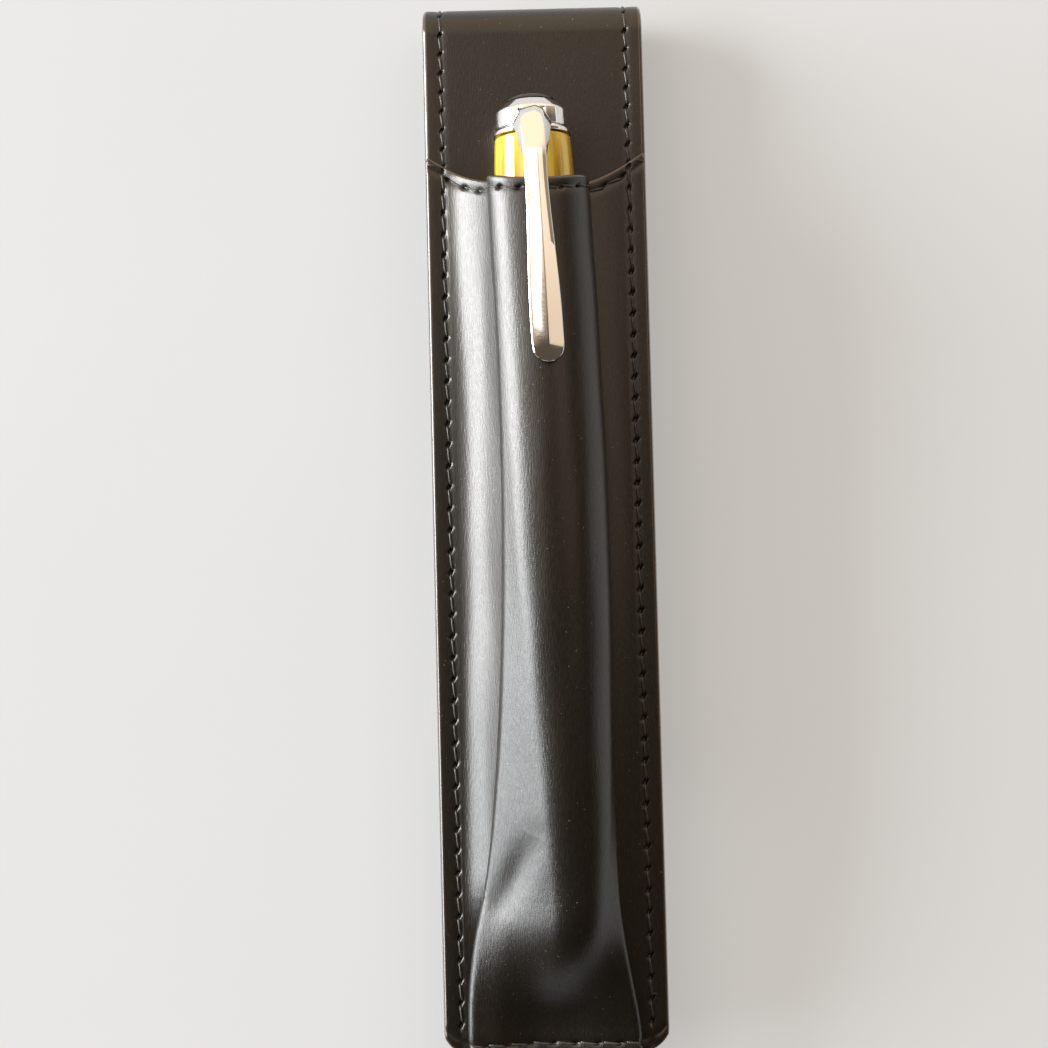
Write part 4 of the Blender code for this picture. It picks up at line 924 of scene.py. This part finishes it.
def section_seam(level, front_only):
    """A run across the pocket's outer face at one level, with its holes."""
    run = section_run(level, front_only)
    points, normals = pocket_surface(level, POCKET_LEATHER / 2)
    points, normals = points[run], normals[run]
    length = travel_along(points)[-1]
    return points, normals, even_places(0, length, length / (len(section_holes(level, front_only)) - 1))


def straight_run(start, end, up, pitch=STITCH_PITCH):
    points = np.array([start, end], float)
    length = travel_along(points)[-1]
    return points, np.array([up, up], float), even_places(0, length, pitch)


def build_seams():
    """Every seam, sewn stitch by stitch."""
    up = (0, 0, 1)
    mouth, fold_start, fold_end, seam_end = seam_marks()
    flange_top = FLANGE_Z + POCKET_LEATHER / 2
    for side, word in ((-1, "left"), (1, "right")):
        x = side * SEAM_X
        strap = strip_run(x, mouth, fold_start)
        sew("strap_stitches_" + word, [strap], "case", "strap_thread_" + word, -STITCH_SLANT)
        fold = strip_run(x, fold_start, fold_end)
        sew("fold_stitches_" + word, [fold], "fold", "fold_thread_" + word, -STITCH_SLANT)
        start = (x, mouth_edge(SEAM_X) - HEM_INSET / 2, flange_top)
        pocket = straight_run(start, (x, BOTTOM_Y + END_CORNER, flange_top), up)
        sew("pocket_stitches_" + word, [pocket], "case", "seam_thread_" + word, -STITCH_SLANT)
        low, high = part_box("bar_tack_" + word)
        y = (low.y + high.y) / 2
        tack = straight_run((low.x, y, flange_top), (high.x, y, flange_top), up, high.x - low.x)
        sew("corner_tack_" + word, [tack], "case", "bar_tack_" + word)
    sew("mouth_stitches", [section_seam(MOUTH_Y - HEM_INSET, False)], "case", "mouth_thread")
    sew("foot_stitches", [section_seam(BOTTOM_Y + BOTTOM_SEAM_INSET, True)], "case", "bottom_thread")
    end_y = FLAP_END_Y + SEAM_INSET
    runs = [strip_run(-SEAM_X, fold_end, seam_end), strip_run(SEAM_X, fold_end, seam_end),
            straight_run((-SEAM_X, end_y, 0), (SEAM_X, end_y, 0), (0, 0, -1))]
    sew("flap_stitches", runs, "flap", "flap_thread")


# Pen
PEN_PLACE = Matrix.Translation(PEN_LIP) @ Matrix.Rotation(PEN_LEAN, 4, "Z")


def rounded_profile(corners, radius, steps=4):
    """A closed outline with each of its corners off the axis rounded over."""
    points = []
    count = len(corners)
    for i, corner in enumerate(corners):
        before, here, after = (Vector(corners[(i + k) % count]) for k in (-1, 0, 1))
        if here.y < TINY:
            points.append(here)
            continue
        reach = min(radius, (before - here).length * 0.45, (after - here).length * 0.45)
        first = here + (before - here).normalized() * reach
        last = here + (after - here).normalized() * reach
        points += bezier([first, here, last], steps)
    return points


def dome_profile(seat, height, radius, steps=12):
    """Outline of a dome that stands this high on its seat."""
    turns = [math.pi / 2 * step / steps for step in range(steps)]
    bow = [(seat + height * math.sin(turn), radius * math.cos(turn)) for turn in turns]
    return [(seat, 0)] + bow + [(seat + height, 0)]


def turned(name, profile, rounding, material, body, node, slot):
    """Spin a closed outline of (distance along the pen, radius) about the pen's axis, its corners rounded."""
    profile = rounded_profile(profile, rounding) if rounding else profile
    work = bmesh.new()
    corners = [work.verts.new((point[1], point[0], 0)) for point in profile]
    edges = []
    for i, corner in enumerate(corners):
        following = (i + 1) % len(corners)
        if profile[i][1] > TINY or profile[following][1] > TINY:
            edges.append(work.edges.new((corner, corners[following])))
    bmesh.ops.spin(work, geom=corners + edges, cent=(0, 0, 0), axis=(0, 1, 0), angle=2 * math.pi,
                   steps=TURN_STEPS, use_merge=True)
    bmesh.ops.remove_doubles(work, verts=work.verts, dist=1e-7)
    work.transform(PEN_PLACE)
    piece = smooth_piece(name, work, material, sharp=TURNED_SHARP)
    carry(piece, body, slot, node)
    return piece


def build_cap():
    """Cap tube, its lip band, the ring under the clip, the finial and its dome."""
    bore = CAP_RADIUS - CAP_WALL
    skirt = CAP_RADIUS - LIP_BAND_SEAT
    step_y = LIP_BAND_LENGTH + SEAT_GAP
    shoulder = CAP_LENGTH - CAP_TAPER_LENGTH
    wall = bezier([(0.6 * shoulder, CAP_RADIUS), (shoulder, CAP_RADIUS), (CAP_LENGTH, CAP_TOP_RADIUS)], 8)
    outline = [(0, bore), (0, skirt), (step_y, skirt), (step_y, CAP_RADIUS)]
    outline += [tuple(point) for point in wall]
    ceiling = CAP_LENGTH - CAP_END_THICKNESS
    outline += [(CAP_LENGTH, STUD_HOLE_RADIUS), (ceiling, STUD_HOLE_RADIUS), (ceiling, bore)]
    turned("cap_body", outline, CAP_ROUNDING, YELLOW, "pen_cap", "cap_tube", "yellow_resin")
    inside = CAP_RADIUS - LIP_BAND_WALL
    band = [(0, inside), (0, CAP_RADIUS), (LIP_BAND_LENGTH, CAP_RADIUS), (LIP_BAND_LENGTH, inside)]
    turned("cap_band", band, RING_ROUNDING, CHROME, "pen_cap", "cap_lip_band", "chrome")
    ring_y = CAP_LENGTH + SEAT_GAP
    rim = CAP_TOP_RADIUS + SEAT_GAP / 2
    ring_top = ring_y + CLIP_RING_HEIGHT
    ring = [(ring_y, STUD_HOLE_RADIUS), (ring_y, rim), (ring_y + CLIP_RING_HEIGHT * 0.6, rim),
            (ring_top, FINIAL_RADIUS + FINIAL_STEP), (ring_top, STUD_HOLE_RADIUS)]
    turned("cap_ring", ring, RING_ROUNDING, CHROME, "pen_cap", "clip_ring", "chrome")
    base = ring_top + SEAT_GAP / 3
    top = ring_top + SEAT_GAP + FINIAL_HEIGHT
    chamfer = FINIAL_RADIUS - FINIAL_DOME_RADIUS
    stud = CAP_LENGTH - STUD_REACH
    stem = [(stud, 0), (stud, STUD_RADIUS), (base, STUD_RADIUS), (base, FINIAL_RADIUS),
            (top - chamfer, FINIAL_RADIUS), (top, FINIAL_DOME_RADIUS), (top, 0)]
    finial = turned("finial", stem, FINIAL_ROUNDING, CHROME, "pen_cap", "finial_ring", "chrome")
    clip_y = ring_top + SEAT_GAP + CLIP_ROOT_DEPTH
    half_slot = CLIP_ROOT_WIDTH / 2 + SLOT_GAP
    cut_slot(finial, (-half_slot, clip_y - SLOT_GAP, FINIAL_RADIUS - SLOT_DEPTH),
             (half_slot, clip_y + CLIP_THICKNESS + SLOT_HEADROOM, FINIAL_RADIUS + SLOT_OVERCUT))
    build_clip(clip_y)
    seat = top + SEAT_GAP / 3
    dome = dome_profile(seat, FINIAL_DOME_HEIGHT, FINIAL_DOME_RADIUS - FINIAL_STEP)
    turned("finial_cap", dome, 0, BLACK, "pen_cap", "finial_dome", "black_resin")


def cut_slot(piece, low, high):
    """Cut a block between two corners of the pen's frame out of a piece."""
    work = bmesh.new()
    bmesh.ops.create_cube(work, size=1)
    middle = (Vector(low) + Vector(high)) / 2
    size = Matrix.Diagonal((*(Vector(high) - Vector(low)), 1))
    work.transform(PEN_PLACE @ Matrix.Translation(middle) @ size)
    tool = smooth_piece("slot_tool", work)
    cut = piece.modifiers.new("slot", "BOOLEAN")
    cut.object = tool
    cut.solver = "EXACT"
    mesh = bpy.data.meshes.new_from_object(piece.evaluated_get(bpy.context.evaluated_depsgraph_get()))
    piece.modifiers.remove(cut)
    piece.data = mesh
    bpy.data.objects.remove(tool, do_unlink=True)


def clip_path(clip_y):
    """Underside of the clip from its slot to its tip, as (place along the pen, radius)."""
    rise = CLIP_RING_HEIGHT + CLIP_ROOT_DEPTH
    knee = CAP_TOP_RADIUS + 2 * SEAT_GAP
    tip_y = clip_y - CLIP_LENGTH
    path = [Vector((clip_y, FINIAL_RADIUS - CLIP_ROOT_DEPTH))]
    path += bezier([(clip_y, knee - rise / 2), (clip_y, knee + rise / 2),
                    (clip_y - rise, CLIP_UNDERSIDE - rise / 2), (clip_y - 3 * rise, CLIP_UNDERSIDE)], 14)
    start = path[-1]
    arch = Vector((tip_y, CLIP_UNDERSIDE + CLIP_ARCH))
    shares = [0.95 * step / 26 for step in range(1, 27)] + [0.965, 0.975, 0.984, 0.991, 0.996, 1.0]
    return path + bezier([start, start.lerp(arch, 1 / 3), start.lerp(arch, 2 / 3),
                          (tip_y, CLIP_UNDERSIDE - CLIP_TIP_DROP)], shares)


def clip_outline(width, cheek, crown, lean):
    """Section of the clip: a back crowned to a ridge, and cheeks turned down at its sides."""
    half = width / 2
    wall = 0.00045
    splay = CLIP_CHEEK_SPLAY * cheek
    lip = 0.00012
    ridge = mix(-half, half, lean)
    top = CLIP_THICKNESS
    back = [(-half + lip, top), (mix(-half, ridge, 0.5), top + crown * 0.51),
            (ridge - lip, top + crown * 0.96), (ridge, top + crown), (ridge + lip, top + crown * 0.97),
            (mix(half, ridge, 0.5), top + crown * 0.54), (half - lip, top + crown * 0.10)]
    right = [(half, top - lip), (half + splay, -cheek), (half + splay - wall, -cheek), (half - wall, 0.0)]
    left = [(-half + wall, 0.0), (-half - splay + wall, -cheek), (-half - splay, -cheek), (-half, top - lip)]
    return back + right + left


def build_clip(clip_y):
    """Sprung clip: a spoon with a ridge along its back and cheeks where it leaves the finial."""
    path = clip_path(clip_y)
    tip_round = CLIP_SPOON_WIDTH / 2
    work = bmesh.new()
    rings = []
    for i, point in enumerate(path):
        ahead = (path[min(i + 1, len(path) - 1)] - path[max(i - 1, 0)]).normalized()
        up = Vector((ahead.y, -ahead.x))
        along = clip_y - point.x
        share = clamp(along / CLIP_LENGTH)
        width = mix(CLIP_ROOT_WIDTH, CLIP_NECK_WIDTH, ease(share / CLIP_NECK_SHARE))
        widening = (share - CLIP_NECK_SHARE) / (CLIP_SPOON_SHARE - CLIP_NECK_SHARE)
        width = mix(width, CLIP_SPOON_WIDTH, ease(widening))
        past = clamp((along - CLIP_LENGTH + tip_round) / tip_round)
        width *= max(CLIP_TIP_SHARE, math.sqrt(1 - past ** 2))
        climb = ease((point.y - FINIAL_RADIUS) / CLIP_CHEEK_CLIMB)
        cheek = CLIP_CHEEK_DEPTH * max(0.0, 1 - along / CLIP_CHEEK_LENGTH) * climb
        crown = CLIP_CROWN * (1 - CLIP_CROWN_FADE * past)
        outline = clip_outline(width, cheek, crown, mix(*CLIP_RIDGE, share))
        sway = math.tan(CLIP_SWAY) * along
        rings.append([work.verts.new((x + sway, point.x + up.x * lift, point.y + up.y * lift))
                      for x, lift in outline])
    for ring, following in zip(rings, rings[1:]):
        for i in range(len(ring)):
            j = (i + 1) % len(ring)
            work.faces.new((ring[i], ring[j], following[j], following[i]))
    work.faces.new(rings[0])
    work.faces.new(rings[-1])
    work.transform(PEN_PLACE)
    clip = smooth_piece("spring_clip", work, CHROME, sharp=CLIP_SHARP)
    carry(clip, "pen_cap", "chrome", "pen_clip")


def build_barrel():
    """Barrel and the black dome at its tail."""
    length = BARREL_LENGTH
    radius = CAP_RADIUS - BARREL_STEP
    wall = bezier([(-SEAT_GAP, radius), (-0.5 * length, radius), (-0.8 * length, radius * 0.82),
                   (-length, BARREL_END_RADIUS)], 24)
    bottom = -length + BARREL_END_THICKNESS
    outline = [(-SEAT_GAP, BARREL_BORE)] + [tuple(point) for point in wall]
    outline += [(-length, 0), (bottom, 0), (bottom, BARREL_END_RADIUS - BARREL_END_WALL),
                (-0.75 * length, BARREL_BORE)]
    turned("barrel_body", outline, BARREL_ROUNDING, YELLOW, "pen", "pen_barrel", "yellow_resin")
    seat = -length - SEAT_GAP / 3
    dome = dome_profile(seat, -TAIL_HEIGHT, BARREL_END_RADIUS)
    turned("barrel_end", dome, 0, BLACK, "pen", "barrel_tail", "black_resin")


# Carried-over solids
def dress_nodes():
    """Finish the solids that stay as they are."""
    finishes = {"inner_cap": FEED, "pen_section": BLACK, "section_ring": CHROME, "pen_feed": FEED,
                "pen_nib": NIB, "ink_converter": CLEAR, "converter_knob": CHROME}
    for node, material in finishes.items():
        mesh = frame["nodes"][node].data
        mesh.materials.clear()
        mesh.materials.append(material)


# Studio
def build_studio():
    """Pale floor, two windows of light at the left, dim cards round about and a darker room."""
    scene = bpy.context.scene
    scene.view_settings.view_transform = "Standard"
    work = bmesh.new()
    bmesh.ops.create_grid(work, x_segments=1, y_segments=1, size=FLOOR_HALF)
    floor_mesh = bpy.data.meshes.new("studio_floor")
    work.to_mesh(floor_mesh)
    work.free()
    paint = Paint("studio_floor", (0.57, 0.61, 0.66), 0.60, Specular_IOR_Level=0.10)
    cloud = paint.noise((20, 20, 20))
    paint.tint(cloud, (0.55, 0.59, 0.645), (0.58, 0.62, 0.675))
    pale = add_node(paint.tree, "Emission", {"Color": (0.95, 0.95, 0.94, 1)})
    blend_by_ray(paint.tree, 0.35, paint.shader.outputs["BSDF"], pale.outputs["Emission"], "Material Output")
    floor = place_piece("studio_floor", floor_mesh, paint.material)
    floor.location.z = -FLOOR_DROP

    world = bpy.data.worlds.new("studio")
    world.use_nodes = True
    scene.world = world
    tree = world.node_tree
    direction = add_node(tree, "TexCoord", {}).outputs["Generated"]
    ahead = add_node(tree, "VectorMath", {0: direction, 1: (-0.20, 1.0, 0.0)}, operation="DOT_PRODUCT")
    glow = map_range(tree, ahead.outputs["Value"], (0.0, 0.52, 0.10, 1.42), "SMOOTHSTEP")
    room = add_node(tree, "Background", {"Color": (1.0, 0.77, 0.55, 1), "Strength": glow})
    height = add_node(tree, "SeparateXYZ", {"Vector": direction}).outputs["Z"]
    band = map_range(tree, height, (0.05, 0.10, 1.0, 0.0), "SMOOTHSTEP")
    backdrop = add_node(tree, "Background", {"Color": (0.94, 0.94, 0.93, 1)})
    blend_by_ray(tree, band, room.outputs["Background"], backdrop.outputs["Background"], "World Output")

    add_light("window", (-1.62, 0.44, 0.45), 0.80, 0.90, 24.0, (0.99, 0.99, 0.98))
    add_light("low_window", (-1.62, -0.21, 0.47), 0.50, 0.94, 12.5, (0.93, 0.97, 1.0))
    add_light("left_card", (-0.42, 0.24, 0.62), 0.36, 0.36, 1.6, (1.0, 0.98, 0.95))
    add_light("right_card", (0.34, 0.18, 0.53), 0.38, 0.34, 0.8, (1.0, 0.80, 0.60))
    add_light("side_card", (0.80, 0.05, 0.18), 0.80, 0.34, 0.07, (1.0, 0.92, 0.82))


def blend_by_ray(tree, share, lit, plain, output):
    """Show part of a plain colour to the camera, to mirrors and through glass, and only light to the rest."""
    path = add_node(tree, "LightPath", {})
    seen = path.outputs["Is Camera Ray"]
    for ray in ("Is Glossy Ray", "Is Transmission Ray"):
        seen = add_node(tree, "Math", {0: seen, 1: path.outputs[ray]}, operation="MAXIMUM").outputs["Value"]
    part = add_node(tree, "Math", {0: seen, 1: share}, operation="MULTIPLY")
    choose = add_node(tree, "MixShader", {"Fac": part.outputs["Value"], 1: lit, 2: plain})
    tree.links.new(choose.outputs["Shader"], tree.nodes[output].inputs["Surface"])


def add_light(name, place, length, height, radiance, colour):
    """A soft panel of this brightness turned to face the object, its length along Y."""
    lamp = bpy.data.lights.new(name, "AREA")
    lamp.shape = "RECTANGLE"
    lamp.size = height
    lamp.size_y = length
    lamp.energy = radiance * math.pi * length * height
    lamp.color = colour
    light = set_up(name, lamp, Vector(place), Vector(place) - Vector((0, 0, STRAP_TOP_Z)), Vector((0, 1, 0)))
    light.visible_camera = False


def set_up(name, data, place, back, up):
    """Put a lamp or camera at a place, looking along -back with this way up."""
    thing = bpy.data.objects.new(name, data)
    thing.location = place
    back = back.normalized()
    right = up.cross(back).normalized()
    thing.rotation_euler = Matrix((right, back.cross(right), back)).transposed().to_euler()
    bpy.context.scene.collection.objects.link(thing)
    return thing


def build_camera():
    """The photograph's viewpoint: almost straight down, with the strap's top leaning left."""
    camera = bpy.data.cameras.new("camera")
    camera.lens = LENS_MM
    camera.sensor_width = SENSOR_MM
    camera.clip_start = 0.01
    back = Vector((0, -math.cos(CAMERA_ELEVATION), math.sin(CAMERA_ELEVATION)))
    up = Vector((math.sin(CAMERA_ROLL), math.cos(CAMERA_ROLL), 0))
    bpy.context.scene.camera = set_up("camera", camera, CAMERA_TARGET + back * STRAP_PLANE_DISTANCE, back, up)


build_strip()
build_pocket()
build_facing()
build_seams()
build_cap()
build_barrel()
dress_nodes()
build_studio()
build_camera()
